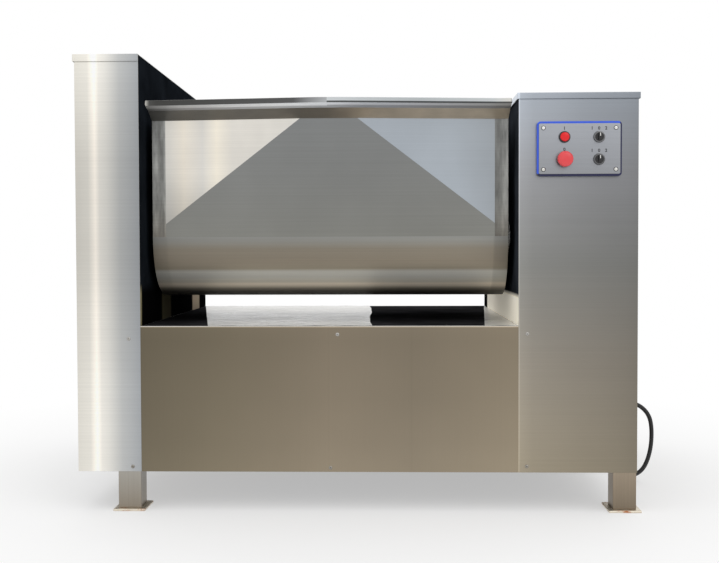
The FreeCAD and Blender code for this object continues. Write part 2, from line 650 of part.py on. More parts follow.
def gear_outline(teeth, module, y, z, turn):
    """Involute teeth as (y, z) points, a tooth centred on the given turn."""
    pressure = math.radians(PRESSURE_ANGLE)
    pitch = teeth * module / 2
    base = pitch * math.cos(pressure)
    root = pitch - ROOT_DEPTH * module
    tip = pitch + module
    half = (math.pi * module / 2 - BACKLASH) / (2 * pitch)
    start = max(base, root)
    radii = [start + (tip - start) * k / 3 for k in range(4)]
    points = []
    for tooth in range(teeth):
        centre = turn + 2 * math.pi * tooth / teeth
        flank = []
        for radius in radii:
            at = math.acos(min(1.0, base / radius))
            flank.append((radius, half + involute(pressure) - involute(at)))
        low = (root, flank[0][1])
        rising = [(low[0], -low[1])] + [(r, -a) for r, a in flank]
        falling = [(r, a) for r, a in reversed(flank)] + [low]
        for radius, angle in rising + falling:
            points.append((y + radius * math.cos(centre + angle), z + radius * math.sin(centre + angle)))
    return points


def gear(teeth, module, x0, x1, y, z, turn, bore):
    """A spur gear along X with a round bore."""
    blank = prism_x(gear_outline(teeth, module, y, z, turn), x0, x1)
    return blank.cut(rod_x(x0 - 1, x1 + 1, y, z, bore))


def gears(parts):
    """The two equal gears in the chamber, which turn the shafts against each other."""
    room = (PARTITION_X - TROUGH_LEFT - COVER_PLATE - GEAR_WIDTH) / 2
    x0 = TROUGH_LEFT + COVER_PLATE + room
    for name, y in (("front_gear", FRONT_SHAFT_Y), ("rear_gear", REAR_SHAFT_Y)):
        parts[name] = gear(GEAR_TEETH, GEAR_MODULE, x0, x0 + GEAR_WIDTH, y, SHAFT_HEIGHT, 0.0, SHAFT_RADIUS)
    x1 = TILT_GEAR_X + TILT_GEAR_WIDTH
    parts["tilt_gear"] = gear(TILT_GEAR_TEETH, TILT_MODULE, TILT_GEAR_X, x1, FRONT_SHAFT_Y, SHAFT_HEIGHT,
                              0.0, TRUNNION_RADIUS)
    gap = math.pi / TILT_PINION_TEETH
    pinion = prism_x(gear_outline(TILT_PINION_TEETH, TILT_MODULE, PINION_Y, SHAFT_HEIGHT, math.pi + gap),
                     TILT_GEAR_X, x1)
    stub = rod_x(x1, x1 + TILT_GEAR_OFFSET + TILT_BOX_LENGTH / 2, PINION_Y, SHAFT_HEIGHT, PINION_SHAFT)
    parts["tilt_pinion"] = pinion.fuse(stub)


def paddle(x, y, angle, hand):
    """One arm with a skewed blade at its end, welded to the shaft."""
    reach = TROUGH_RADIUS - TROUGH_WALL - BLADE_WALL_GAP
    arm = Part.makeBox(ARM_WIDTH, ARM_THICKNESS, reach - BLADE_THICKNESS,
                       V(-ARM_WIDTH / 2, -ARM_THICKNESS / 2, 0))
    ring = Part.makeCylinder(reach, BLADE_LENGTH, V(-BLADE_LENGTH / 2, 0, 0), V(1, 0, 0))
    core = Part.makeCylinder(reach - BLADE_THICKNESS, BLADE_LENGTH + 2, V(-BLADE_LENGTH / 2 - 1, 0, 0),
                             V(1, 0, 0))
    half = BLADE_LENGTH / 2 - BLADE_TRIM
    keep = Part.makeBox(2 * half, BLADE_HEIGHT, reach, V(-half, -BLADE_HEIGHT / 2, 0))
    keep.rotate(V(0, 0, 0), V(0, 0, 1), hand * BLADE_SKEW)
    blade = ring.cut(core).common(keep)
    piece = arm.fuse(blade)
    piece.rotate(V(0, 0, 0), V(1, 0, 0), angle - 90.0)
    piece.translate(V(x, y, SHAFT_HEIGHT))
    return piece


def agitator(y, x0, x1, shift, hand):
    """A shaft with its row of paddles."""
    shape = rod_x(x0, x1, y, SHAFT_HEIGHT, SHAFT_RADIUS)
    pieces = []
    for i in range(ARM_COUNT):
        x = TROUGH_MID + (i - (ARM_COUNT - 1) / 2) * ARM_PITCH + shift
        pieces.append(paddle(x, y, ARM_FIRST_ANGLE + i * ARM_STEP_ANGLE, hand))
    return shape.fuse(pieces).removeSplitter()


def agitators(parts):
    """Front and rear shafts with interleaved paddles."""
    stagger = ARM_PITCH / 4
    sprocket_end = CHAIN_X - SPROCKET_WIDTH
    parts["front_agitator"] = agitator(FRONT_SHAFT_Y, sprocket_end, RIGHT_PLATE_X + END_INSET - SEAL_THICKNESS,
                                       -stagger, 1)
    parts["rear_agitator"] = agitator(REAR_SHAFT_Y, TROUGH_LEFT - SHAFT_BEARING_WIDTH,
                                      RIGHT_PLATE_X + SHAFT_BEARING_WIDTH, stagger, -1)


# Chain drive

def pitch_radius(teeth):
    """The pitch circle of a chain sprocket."""
    return CHAIN_PITCH / (2 * math.sin(math.pi / teeth))


def sprocket(teeth, z, hub, bore, first):
    """A chain sprocket with round seats, the first at a given turn, and a hub on its right side."""
    y = FRONT_SHAFT_Y
    radius = pitch_radius(teeth)
    tip = radius + TOOTH_REACH
    step = 2 * math.pi / teeth
    x0 = CHAIN_X - SPROCKET_WIDTH / 2
    seat = math.asin(SEAT_HALF_WIDTH / radius)
    crest = step * CREST_SHARE

    def at(r, angle):
        return V(x0, y + r * math.cos(angle), z + r * math.sin(angle))

    edges = []
    for i in range(teeth):
        centre = first + i * step
        start, end = at(radius, centre - seat), at(radius, centre + seat)
        edges.append(Part.Arc(start, at(radius - ROLLER_RADIUS, centre), end).toShape())
        rise = at(tip, centre + step / 2 - crest)
        fall = at(tip, centre + step / 2 + crest)
        edges.append(Part.LineSegment(end, rise).toShape())
        edges.append(Part.LineSegment(rise, fall).toShape())
        edges.append(Part.LineSegment(fall, at(radius, centre + step - seat)).toShape())
    disc = Part.Face(Part.Wire(Part.__sortEdges__(edges))).extrude(V(SPROCKET_WIDTH, 0, 0))
    shape = disc.fuse(rod_x(CHAIN_X, CHAIN_X + SPROCKET_WIDTH, y, z, hub))
    if bore:
        shape = shape.cut(rod_x(CHAIN_X - SPROCKET_WIDTH * 2, CHAIN_X + SPROCKET_WIDTH * 2, y, z, bore))
    return shape


def run_ends(extra, x):
    """Where each free run of the chain meets the two wheels, for a line a distance outside the pins."""
    upper = pitch_radius(DRIVEN_TEETH) + extra
    lower = pitch_radius(DRIVER_TEETH) + extra
    y = FRONT_SHAFT_Y
    tilt = math.asin((upper - lower) / (SHAFT_HEIGHT - DRIVER_HEIGHT))
    c, s = math.cos(tilt), math.sin(tilt)
    return {side: (V(x, y + side * upper * c, SHAFT_HEIGHT - upper * s),
                   V(x, y + side * lower * c, DRIVER_HEIGHT - lower * s)) for side in (-1, 1)}


def belt_face(extra, x):
    """The face inside a line that runs round both wheels, a distance outside the pins."""
    y = FRONT_SHAFT_Y
    ends = run_ends(extra, x)
    top = V(x, y, SHAFT_HEIGHT + pitch_radius(DRIVEN_TEETH) + extra)
    bottom = V(x, y, DRIVER_HEIGHT - pitch_radius(DRIVER_TEETH) - extra)
    edges = [
        Part.Arc(ends[-1][0], top, ends[1][0]).toShape(),
        Part.LineSegment(ends[1][0], ends[1][1]).toShape(),
        Part.Arc(ends[1][1], bottom, ends[-1][1]).toShape(),
        Part.LineSegment(ends[-1][1], ends[-1][0]).toShape(),
    ]
    return Part.Face(Part.Wire(edges))


def free_pins():
    """The (y, z) places of the pins between the wheels, counted in pitches from the top of the loop."""
    top, bottom = run_ends(0.0, 0.0)[1]
    run = bottom - top
    upper = pitch_radius(DRIVEN_TEETH)
    turned = math.pi / 2 + math.atan2(SHAFT_HEIGHT - top.z, top.y - FRONT_SHAFT_Y)
    first = turned / (2 * math.pi / DRIVEN_TEETH)
    keep = []
    for wheel in (upper, pitch_radius(DRIVER_TEETH)):
        reach = wheel + TOOTH_REACH + ROLLER_RADIUS + ROLLER_CLEARANCE
        keep.append(math.sqrt(reach ** 2 - wheel ** 2) / CHAIN_PITCH)
    places = []
    pitches = range(math.ceil(first + keep[0]), math.floor(first + run.Length / CHAIN_PITCH - keep[1]) + 1)
    for count in pitches:
        p = top + run * ((count - first) * CHAIN_PITCH / run.Length)
        places += [(p.y, p.z), (2 * FRONT_SHAFT_Y - p.y, p.z)]
    return places


def drive_chain(parts):
    """Roller chain: a plate loop each side of the teeth, with pins and rollers on the free runs."""
    x0 = CHAIN_X - CHAIN_INNER_GAP / 2 - LINK_PLATE
    x1 = CHAIN_X + CHAIN_INNER_GAP / 2
    loop = belt_face(LINK_HEIGHT / 2, x0).cut(belt_face(-LINK_HEIGHT / 2, x0)).extrude(V(LINK_PLATE, 0, 0))
    other = loop.copy()
    other.translate(V(x1 - x0, 0, 0))
    crossings = []
    for y, z in free_pins():
        crossings.append(rod_x(x0 - PIN_HEAD, x1 + LINK_PLATE + PIN_HEAD, y, z, PIN_RADIUS))
        crossings.append(rod_x(x0 + LINK_PLATE, x1, y, z, ROLLER_RADIUS))
    parts["drive_chain"] = loop.fuse([other] + crossings)


def sprockets(parts):
    """The sprocket on the front shaft and the small one on the gearbox."""
    parts["driven_sprocket"] = sprocket(DRIVEN_TEETH, SHAFT_HEIGHT, DRIVEN_HUB, SHAFT_RADIUS, math.pi / 2)
    small = sprocket(DRIVER_TEETH, DRIVER_HEIGHT, DRIVER_HUB, 0.0, -math.pi / 2)
    shaft = rod_x(CHAIN_X, gearbox_left() + GEARBOX_LENGTH / 2, FRONT_SHAFT_Y, DRIVER_HEIGHT, SHAFT_RADIUS)
    parts["drive_sprocket"] = small.fuse(shaft)


# Gearmotors

def gearbox_left():
    """Where the mixing gearbox begins, clear of the left posts."""
    return LEFT_IN + TROUGH_GAP


def finned_motor(x0, length, y, z, radius):
    """A motor along X with cooling fins and a bevelled fan cover."""
    body = rod_x(x0, x0 + length, y, z, radius - FIN_HEIGHT)
    fins = []
    for i in range(FIN_COUNT):
        fin = Part.makeBox(length - FAN_COVER_LENGTH, FIN_THICKNESS, radius,
                           V(x0, -FIN_THICKNESS / 2 + y, z))
        fin.rotate(V(x0, y, z), V(1, 0, 0), i * 360.0 / FIN_COUNT)
        fins.append(fin)
    bevel = FAN_COVER_LENGTH / 4
    cowl = rod_x(x0 + length - FAN_COVER_LENGTH, x0 + length - bevel, y, z, radius)
    dome = Part.makeCone(radius, radius - bevel, bevel, V(x0 + length - bevel, y, z), V(1, 0, 0))
    return body.fuse(fins + [cowl, dome])


def mixing_drive(parts):
    """The gearbox on its beams and the motor flanged to it."""
    x0 = gearbox_left()
    y = FRONT_SHAFT_Y
    half = GEARBOX_WIDTH / 2
    block = box(x0, x0 + GEARBOX_LENGTH, y - half, y + half, BEAM_TOP, BEAM_TOP + GEARBOX_HEIGHT)
    along = [e for e in block.Edges if abs(e.tangentAt(e.FirstParameter).x) > 0.99
             and e.BoundBox.ZMin > BEAM_TOP + 1]
    block = block.makeFillet(GEARBOX_CORNER, along)
    bore = rod_x(x0 - 1, x0 + GEARBOX_LENGTH / 2 + 1, y, DRIVER_HEIGHT, SHAFT_RADIUS + JOURNAL_CLEARANCE)
    parts["mixing_gearbox"] = block.cut(bore)
    start = x0 + GEARBOX_LENGTH
    motor = finned_motor(start, MOTOR_LENGTH, y, DRIVER_HEIGHT, MOTOR_RADIUS)
    flange = rod_x(start, start + MOTOR_FLANGE_THICKNESS, y, DRIVER_HEIGHT, MOTOR_FLANGE - FIN_HEIGHT)
    parts["mixing_motor"] = motor.fuse(flange)


def tilt_drive(parts):
    """The tilt gearbox on its shelf and the motor behind it."""
    x0 = TILT_GEAR_X + TILT_GEAR_WIDTH + TILT_GEAR_OFFSET
    half = TILT_BOX_WIDTH / 2
    block = box(x0, x0 + TILT_BOX_LENGTH, PINION_Y - half, PINION_Y + half, SHELF_TOP,
                SHELF_TOP + TILT_BOX_HEIGHT)
    along = [e for e in block.Edges if abs(e.tangentAt(e.FirstParameter).x) > 0.99
             and e.BoundBox.ZMin > SHELF_TOP + 1]
    block = block.makeFillet(TILT_BOX_CORNER, along)
    bore = rod_x(x0 - 1, x0 + TILT_BOX_LENGTH / 2 + 1, PINION_Y, SHAFT_HEIGHT,
                 PINION_SHAFT + JOURNAL_CLEARANCE)
    parts["tilt_gearbox"] = block.cut(bore)
    middle = x0 + TILT_BOX_LENGTH / 2
    start = PINION_Y + half
    motor = finned_motor(0.0, TILT_MOTOR_LENGTH, 0.0, 0.0, TILT_MOTOR_RADIUS)
    motor.rotate(V(0, 0, 0), V(0, 0, 1), 90.0)
    motor.translate(V(middle, start, SHAFT_HEIGHT))
    parts["tilt_motor"] = motor


# Controls

def control_places():
    """The centre of each control on the plate."""
    middle = PANEL_X + CONTROL_SHIFT
    x0, x1 = middle - CONTROL_COLUMN, middle + CONTROL_COLUMN
    level = PLATE_CENTRE_HEIGHT + CONTROL_RISE
    z0, z1 = level - CONTROL_ROW, level + CONTROL_ROW
    return {"lamp": (x0, z1), "stop": (x0, z0), "mix": (x1, z1), "tilt": (x1, z0)}


def control_holes():
    """Round holes for the controls, through the casing, the gasket and the plate."""
    front = PANEL_Y - GASKET_THICKNESS - PLATE_THICKNESS
    return [rod_y(x, front - 1, PANEL_Y + SHEET + 1, z, PANEL_HOLE) for x, z in control_places().values()]


def gland_place():
    """Where the power cable leaves the outer side of the right column."""
    return RIGHT_OUT, -HALF_DEPTH + GLAND_FROM_FRONT, GLAND_HEIGHT


def gland_hole():
    """The gland's hole in the casing."""
    x, y, z = gland_place()
    return rod_x(x - SHEET - 1, x + 1, y, z, GLAND_HOLE)


def controls(parts):
    """Plate, gasket, lamp, emergency stop and two selectors."""
    back = PANEL_Y
    mid = back - GASKET_THICKNESS
    face = mid - PLATE_THICKNESS
    x, z = PANEL_X, PLATE_CENTRE_HEIGHT
    gasket = rounded_plate(GASKET_WIDTH, GASKET_HEIGHT, GASKET_RADIUS, mid, back, x, z)
    plate = rounded_plate(PLATE_WIDTH, PLATE_HEIGHT, PLATE_RADIUS, face, mid, x, z)
    for hole in control_holes():
        gasket = gasket.cut(hole)
        plate = plate.cut(hole)
    parts["panel_gasket"] = gasket
    parts["control_plate"] = plate
    places = control_places()
    inside = back + SHEET + SWITCH_DEPTH
    x, z = places["lamp"]
    ring = rod_y(x, face - BEZEL_THICKNESS, face, z, BEZEL_RADIUS)
    body = rod_y(x, face, inside, z, SWITCH_BODY_RADIUS)
    foot = V(x, face - BEZEL_THICKNESS, z)
    lens = Part.makeCone(LENS_RADIUS, LENS_FACE_RADIUS, LENS_HEIGHT, foot, V(0, -1, 0))
    parts["pilot_lamp"] = ring.fuse([body, lens])
    x, z = places["stop"]
    collar = rod_y(x, face - BEZEL_THICKNESS, face, z, BEZEL_RADIUS)
    collar = collar.fuse(rod_y(x, face, inside, z, SWITCH_BODY_RADIUS))
    parts["stop_collar"] = collar.cut(rod_y(x, face - BEZEL_THICKNESS - 1, inside + 1, z,
                                            STEM_RADIUS + STEM_CLEARANCE))
    near = face - BEZEL_THICKNESS - STOP_TRAVEL - STOP_REST_GAP
    bevel = STOP_BEVEL
    head = rod_y(x, near - STOP_HEIGHT + bevel, near, z, STOP_RADIUS)
    crown = Part.makeCone(STOP_RADIUS, STOP_RADIUS - bevel, bevel, V(x, near - STOP_HEIGHT + bevel, z),
                          V(0, -1, 0))
    parts["stop_button"] = head.fuse([crown, rod_y(x, near, inside, z, STEM_RADIUS)])
    bezels = []
    for name in ("mix", "tilt"):
        x, z = places[name]
        ring = rod_y(x, face - BEZEL_THICKNESS, face, z, BEZEL_RADIUS)
        body = rod_y(x, face, inside, z, SWITCH_BODY_RADIUS)
        hollow = rod_y(x, face - BEZEL_THICKNESS - 1, inside + 1, z, STEM_RADIUS + STEM_CLEARANCE)
        bezels.append(ring.fuse(body).cut(hollow))
        near = face - BEZEL_THICKNESS - SEAT
        knob = rod_y(x, near - KNOB_SKIRT, near, z, KNOB_RADIUS)
        grip = box(x - GRIP_HALF_WIDTH, x + GRIP_HALF_WIDTH, near - KNOB_HEIGHT, near,
                   z - GRIP_HALF_LENGTH, z + GRIP_HALF_LENGTH)
        parts[f"{name}_switch_knob"] = knob.fuse([grip, rod_y(x, near, inside, z, STEM_RADIUS)])
    parts["switch_bezels"] = Part.makeCompound(bezels)
    box_front = FRAME_FRONT + LEG_TUBE
    box_right = leg_spans()["right"][0] + BOX_LEG_LAP
    box_top = RIGHT_TOP - SHEET - BOX_TOP_GAP
    parts["electrical_box"] = box(box_right - BOX_WIDTH, box_right, box_front, box_front + BOX_DEPTH,
                                  box_top - BOX_HEIGHT, box_top)


# Power cable

def cable_route():
    """Hand-set points of the cable from the gland to the coil."""
    x, y, z = gland_place()
    floor = CABLE_DIAMETER / 2
    start = x + GLAND_LENGTH
    return [
        V(start, y, z), V(start + 32, y, z), V(start + 57, y - 2, z - 10), V(start + 76, y - 4, z - 29),
        V(start + 86, y - 6, z - 54), V(start + 88, y - 8, z - 100), V(start + 83, y - 4, z - 148),
        V(start + 70, y + 8, z - 192), V(start + 52, y + 36, floor + 11), V(start + 38, y + 84, floor),
        V(start + 34, y + 158, floor), V(start + 26, y + 250, floor), V(start + 14, y + 340, floor),
        V(start + 16, y + 436, floor), V(start + 12, y + 532, floor), V(start + 14, y + 622, floor),
        V(start + 4, y + 702, floor), V(start - 30, y + 764, floor), V(start - 92, y + 792, floor),
    ]


def bent_tube(points, radius):
    """A tube of straight runs joined by tangent arcs, with its length and the radii of its arcs."""
    edges = []
    previous = points[0]
    radii = []
    for a, b, c in zip(points, points[1:], points[2:]):
        u = (a - b).normalize()
        w = (c - b).normalize()
        turn = math.pi - u.getAngle(w)
        reach = RUN_SHARE * min((a - b).Length, (c - b).Length)
        bend = reach / math.tan(turn / 2)
        radii.append(bend)
        p, q = b + u * reach, b + w * reach
        middle = (u + w).normalize()
        centre = b + middle * (bend / math.cos(turn / 2))
        top = centre - middle * bend
        edges.append(Part.LineSegment(previous, p).toShape())
        edges.append(Part.Arc(p, top, q).toShape())
        previous = q
    edges.append(Part.LineSegment(previous, points[-1]).toShape())
    path = Part.Wire(edges)
    start = (points[1] - points[0]).normalize()
    ring = Part.Wire(Part.makeCircle(radius, points[0], start))
    tube = path.makePipeShell([ring], True, False)
    return tube, path.Length, radii


def supply(parts):
    """Gland, cable, the coil of its unseen length, and the plug."""
    x, y, z = gland_place()
    radius = CABLE_DIAMETER / 2
    nut = rod_x(x, x + GLAND_NUT, y, z, GLAND_RADIUS)
    stem = rod_x(x - GLAND_STEM, x, y, z, GLAND_STEM_RADIUS)
    dome = Part.makeCone(GLAND_DOME_RADIUS, radius + GLAND_LIP, GLAND_LENGTH - GLAND_NUT,
                         V(x + GLAND_NUT, y, z), V(1, 0, 0))
    parts["cable_gland"] = nut.fuse([stem, dome])
    route = cable_route()
    tube, length, radii = bent_tube(route, radius)
    print("cable tube", round(length), "volume ratio",
          round(tube.Volume / (length * math.pi * radius ** 2), 4), "radii", [round(r) for r in radii])
    end = route[-1]
    away = (route[-1] - route[-2]).normalize()
    mid = end + V(-away.y, away.x, 0) * COIL_RADIUS
    half = radius * COIL_LAYER_TURNS + COIL_SLACK
    height = CABLE_DIAMETER * math.ceil(COIL_TURNS / COIL_LAYER_TURNS)
    coil = Part.makeCylinder(COIL_RADIUS + half, height, V(mid.x, mid.y, 0))
    coil = coil.cut(Part.makeCylinder(COIL_RADIUS - half, height + 2, V(mid.x, mid.y, -1)))
    parts["cable_coil"] = coil
    parts["power_cable"] = tube.cut(Part.makeCylinder(COIL_RADIUS + half, height, V(mid.x, mid.y, 0)))
    exit_x = mid.x - math.sqrt((COIL_RADIUS + half) ** 2 - COIL_RADIUS ** 2)
    back = V(exit_x - PLUG_BOOT, mid.y + COIL_RADIUS, PLUG_RADIUS)
    boot = Part.makeCone(BOOT_RADIUS, radius + BOOT_LIP, PLUG_BOOT + COIL_RADIUS / 2, back, V(1, 0, 0))
    boot = boot.cut(Part.makeCylinder(COIL_RADIUS + half, height + 2, V(mid.x, mid.y, -1)))
    body = Part.makeCylinder(PLUG_RADIUS, PLUG_LENGTH, back, V(-1, 0, 0))
    pins = []
    for k in range(PIN_COUNT):
        a = math.radians(90 + 360 * k / PIN_COUNT)
        p = back + V(-PLUG_LENGTH, PIN_CIRCLE * math.cos(a), PIN_CIRCLE * math.sin(a))
        pins.append(Part.makeCylinder(PLUG_PIN_RADIUS, PLUG_PIN_LENGTH, p, V(-1, 0, 0)))
    parts["plug"] = body.fuse(pins + [boot])


def main():
    """Build every piece and write one file per node."""
    parts = {}
    for build in (legs, right_posts, rails, bearing_supports, columns, base_cladding, casing_screws,
                  trough_shell, spout_rim, trough_ends, trunnions, gears, agitators, drive_chain,
                  sprockets, mixing_drive, tilt_drive, controls, supply):
        build(parts)
    os.makedirs("parts", exist_ok=True)
    for name, shape in parts.items():
        shape.translate(V(0, ORIGIN_SHIFT, 0))
        if not shape.isValid():
            print("not valid:", name)
        shape.exportStep(f"parts/{name}.step")
    print(len(parts), "nodes, moved back by", round(ORIGIN_SHIFT, 3))


main()
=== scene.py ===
"""Looks of a tilting double trough meat mixer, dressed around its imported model.

Every piece is in metres, in the model's own frame: +X to the right, +Y to the back, +Z up.
"""
import json
import logging
import math
from dataclasses import dataclass, field
from enum import Enum
from typing import Callable, Iterable, Sequence

import bmesh
import bpy
from mathutils import Euler, Matrix, Vector

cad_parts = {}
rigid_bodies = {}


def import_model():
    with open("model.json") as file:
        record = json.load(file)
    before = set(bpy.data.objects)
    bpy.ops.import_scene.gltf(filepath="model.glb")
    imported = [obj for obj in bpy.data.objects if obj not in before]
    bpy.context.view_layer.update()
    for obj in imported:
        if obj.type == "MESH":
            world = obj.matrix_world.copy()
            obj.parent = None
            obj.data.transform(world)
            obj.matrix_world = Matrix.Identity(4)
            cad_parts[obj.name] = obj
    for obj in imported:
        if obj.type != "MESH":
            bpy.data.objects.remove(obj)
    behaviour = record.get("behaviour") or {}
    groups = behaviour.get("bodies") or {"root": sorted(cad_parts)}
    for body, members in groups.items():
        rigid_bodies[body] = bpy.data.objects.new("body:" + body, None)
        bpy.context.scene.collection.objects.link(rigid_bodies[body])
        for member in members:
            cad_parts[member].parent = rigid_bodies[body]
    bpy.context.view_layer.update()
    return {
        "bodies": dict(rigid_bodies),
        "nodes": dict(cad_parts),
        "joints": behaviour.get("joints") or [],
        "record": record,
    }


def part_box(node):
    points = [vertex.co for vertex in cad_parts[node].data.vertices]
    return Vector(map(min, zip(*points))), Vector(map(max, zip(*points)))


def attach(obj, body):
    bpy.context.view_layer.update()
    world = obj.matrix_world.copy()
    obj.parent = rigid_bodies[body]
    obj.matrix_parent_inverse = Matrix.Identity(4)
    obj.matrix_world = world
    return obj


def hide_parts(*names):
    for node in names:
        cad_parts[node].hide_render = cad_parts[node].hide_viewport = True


log = logging.getLogger("meat_mixer")

Colour = tuple[float, float, float]
Stop = tuple[float, Colour]
Socket = bpy.types.NodeSocket
Material = bpy.types.Material
Piece = bpy.types.Object
Mesh = bmesh.types.BMesh

SENSOR_WIDTH = 36.0
EIGHT_BIT = 255.0
MERGE_DISTANCE = 1e-6
FLAT_ANGLE = math.radians(0.5)
SHARP_ANGLE = math.radians(32.0)
FULL_TURN = math.tau
NOISE_BODY = (0.3, 0.7)
BRUSH_DEPTH = 0.00004


class Grain(Enum):
    """The direction that the brushing of a sheet runs in, as noise scales along X, Y and Z."""

    LEVEL = (1.2, 1.2, 420.0)
    UPRIGHT = (420.0, 420.0, 1.2)
    ACROSS = (420.0, 1.2, 420.0)


class Axis(Enum):
    """An axis that a gradient runs along."""

    X = 0
    Y = 1
    Z = 2


def srgb(red: float, green: float, blue: float) -> Colour:
    """Turn an eight-bit display colour into linear light.

    Args:
        red: Red, 0 to 255.
        green: Green, 0 to 255.
        blue: Blue, 0 to 255.

    Returns:
        The three linear values.
    """
    def linear(value: float) -> float:
        """Undo the display curve of one channel."""
        share = value / EIGHT_BIT
        return share / 12.92 if share <= 0.04045 else ((share + 0.055) / 1.055) ** 2.4

    return linear(red), linear(green), linear(blue)


def tones(*rows: tuple[float, float, float, float]) -> tuple[Stop, ...]:
    """Turn rows of place, red, green and blue into the stops of a ramp."""
    return tuple((place, srgb(red, green, blue)) for place, red, green, blue in rows)


class Graph:
    """A material's node graph with short calls for the nodes used here."""

    def __init__(self, name: str) -> None:
        """Start an empty material.

        Args:
            name: The finish's name.
        """
        self.material = bpy.data.materials.new(name)
        self.material.use_nodes = True
        self.tree = self.material.node_tree
        self.shader = self.tree.nodes["Principled BSDF"]
        self.coords = self.tree.nodes.new("ShaderNodeTexCoord")

    def link(self, source: Socket, target: Socket) -> None:
        """Join two sockets."""
        self.tree.links.new(source, target)

    def mapped(self, scale: Sequence[float]) -> Socket:
        """Stretch the object's own coordinates.

        Args:
            scale: The factor along each axis.

        Returns:
            The stretched coordinates.
        """
        node = self.tree.nodes.new("ShaderNodeMapping")
        node.inputs["Scale"].default_value = scale
        self.link(self.coords.outputs["Object"], node.inputs["Vector"])
        return node.outputs["Vector"]

    def noise(self, scale: Sequence[float], detail: float = 4.0, roughness: float = 0.6) -> Socket:
        """Cloudy noise on stretched coordinates.

        Args:
            scale: The factor along each axis.
            detail: How many octaves are added.
            roughness: How strong the fine octaves are.

        Returns:
            The noise value.
        """
        node = self.tree.nodes.new("ShaderNodeTexNoise")
        node.inputs["Scale"].default_value = 1.0
        node.inputs["Detail"].default_value = detail
        node.inputs["Roughness"].default_value = roughness
        self.link(self.mapped(scale), node.inputs["Vector"])
        return node.outputs["Fac"]

    def span(self, value: Socket, low: float, high: float,
             out_low: float = 0.0, out_high: float = 1.0) -> Socket:
        """Carry one range of a value over to another, clamped.

        Args:
            value: The value to carry over.
            low: The start of its range.
            high: The end of its range.
            out_low: What the start becomes.
            out_high: What the end becomes.

        Returns:
            The new value.
        """
        node = self.tree.nodes.new("ShaderNodeMapRange")
        node.inputs["From Min"].default_value = low
        node.inputs["From Max"].default_value = high
        node.inputs["To Min"].default_value = out_low
        node.inputs["To Max"].default_value = out_high
        self.link(value, node.inputs["Value"])
        return node.outputs["Result"]

    def span_stops(self, value: Socket, stops: Sequence[tuple[float, float]]) -> Socket:
        """A number that changes along a value, through stops of place and number up to 2."""
        greys = [(place, (number / 2, number / 2, number / 2)) for place, number in stops]
        node = self.tree.nodes.new("ShaderNodeMath")
        node.operation = "MULTIPLY"
        node.inputs[1].default_value = 2.0
        self.link(self.ramp(value, greys), node.inputs[0])
        return node.outputs[0]

    def times(self, first: Socket, second: Socket) -> Socket:
        """The product of two numbers."""
        node = self.tree.nodes.new("ShaderNodeMath")
        node.operation = "MULTIPLY"
        self.link(first, node.inputs[0])
        self.link(second, node.inputs[1])
        return node.outputs[0]

    def scaled(self, colour: Socket, number: Socket) -> Socket:
        """A colour made brighter or darker by a number."""
        node = self.tree.nodes.new("ShaderNodeVectorMath")
        node.operation = "SCALE"
        self.link(colour, node.inputs[0])
        self.link(number, node.inputs["Scale"])
        return node.outputs[0]

    def along(self, axis: Axis, low: float, high: float) -> Socket:
        """Where a point lies between two places on an axis, as 0 to 1."""
        node = self.tree.nodes.new("ShaderNodeSeparateXYZ")
        self.link(self.coords.outputs["Object"], node.inputs["Vector"])
        return self.span(node.outputs[axis.value], low, high)

    def ramp(self, value: Socket, stops: Sequence[Stop]) -> Socket:
        """Colours along a value.

        Args:
            value: The value, 0 to 1.
            stops: Places and colours.

        Returns:
            The colour.
        """
        node = self.tree.nodes.new("ShaderNodeValToRGB")
        elements = node.color_ramp.elements
        while len(elements) < len(stops):
            elements.new(0.5)
        for element, (place, colour) in zip(elements, stops):
            element.position = place
            element.color = (*colour, 1.0)
        self.link(value, node.inputs["Fac"])
        return node.outputs["Color"]

    def mix(self, factor: Socket | float, first: Socket | Colour,
            second: Socket | Colour) -> Socket:
        """Mix two colours.

        Args:
            factor: How much of the second shows.
            first: The first colour.
            second: The second colour.

        Returns:
            The mixed colour.
        """
        node = self.tree.nodes.new("ShaderNodeMix")
        node.data_type = "RGBA"
        for socket, value in ((node.inputs[0], factor), (node.inputs[6], first), (node.inputs[7], second)):
            if isinstance(value, Socket):
                self.link(value, socket)
            elif isinstance(value, tuple):
                socket.default_value = (*value, 1.0)
            else:
                socket.default_value = value
        return node.outputs[2]

    def bump(self, height: Socket, distance: float) -> None:
        """Let a height roughen the surface.

        Args:
            height: The height, 0 to 1.
            distance: The real height in metres.
        """
        node = self.tree.nodes.new("ShaderNodeBump")
        node.inputs["Distance"].default_value = distance
        node.inputs["Strength"].default_value = 1.0
        self.link(height, node.inputs["Height"])
        self.link(node.outputs["Normal"], self.shader.inputs["Normal"])

    def colour(self, socket: Socket) -> None:
        """Use a colour on the shader."""
        self.link(socket, self.shader.inputs["Base Color"])

    def roughness(self, socket: Socket) -> None:
        """Use a roughness on the shader."""
        self.link(socket, self.shader.inputs["Roughness"])

    def metal(self, share: float) -> None:
        """Set how metallic the surface is."""
        self.shader.inputs["Metallic"].default_value = share


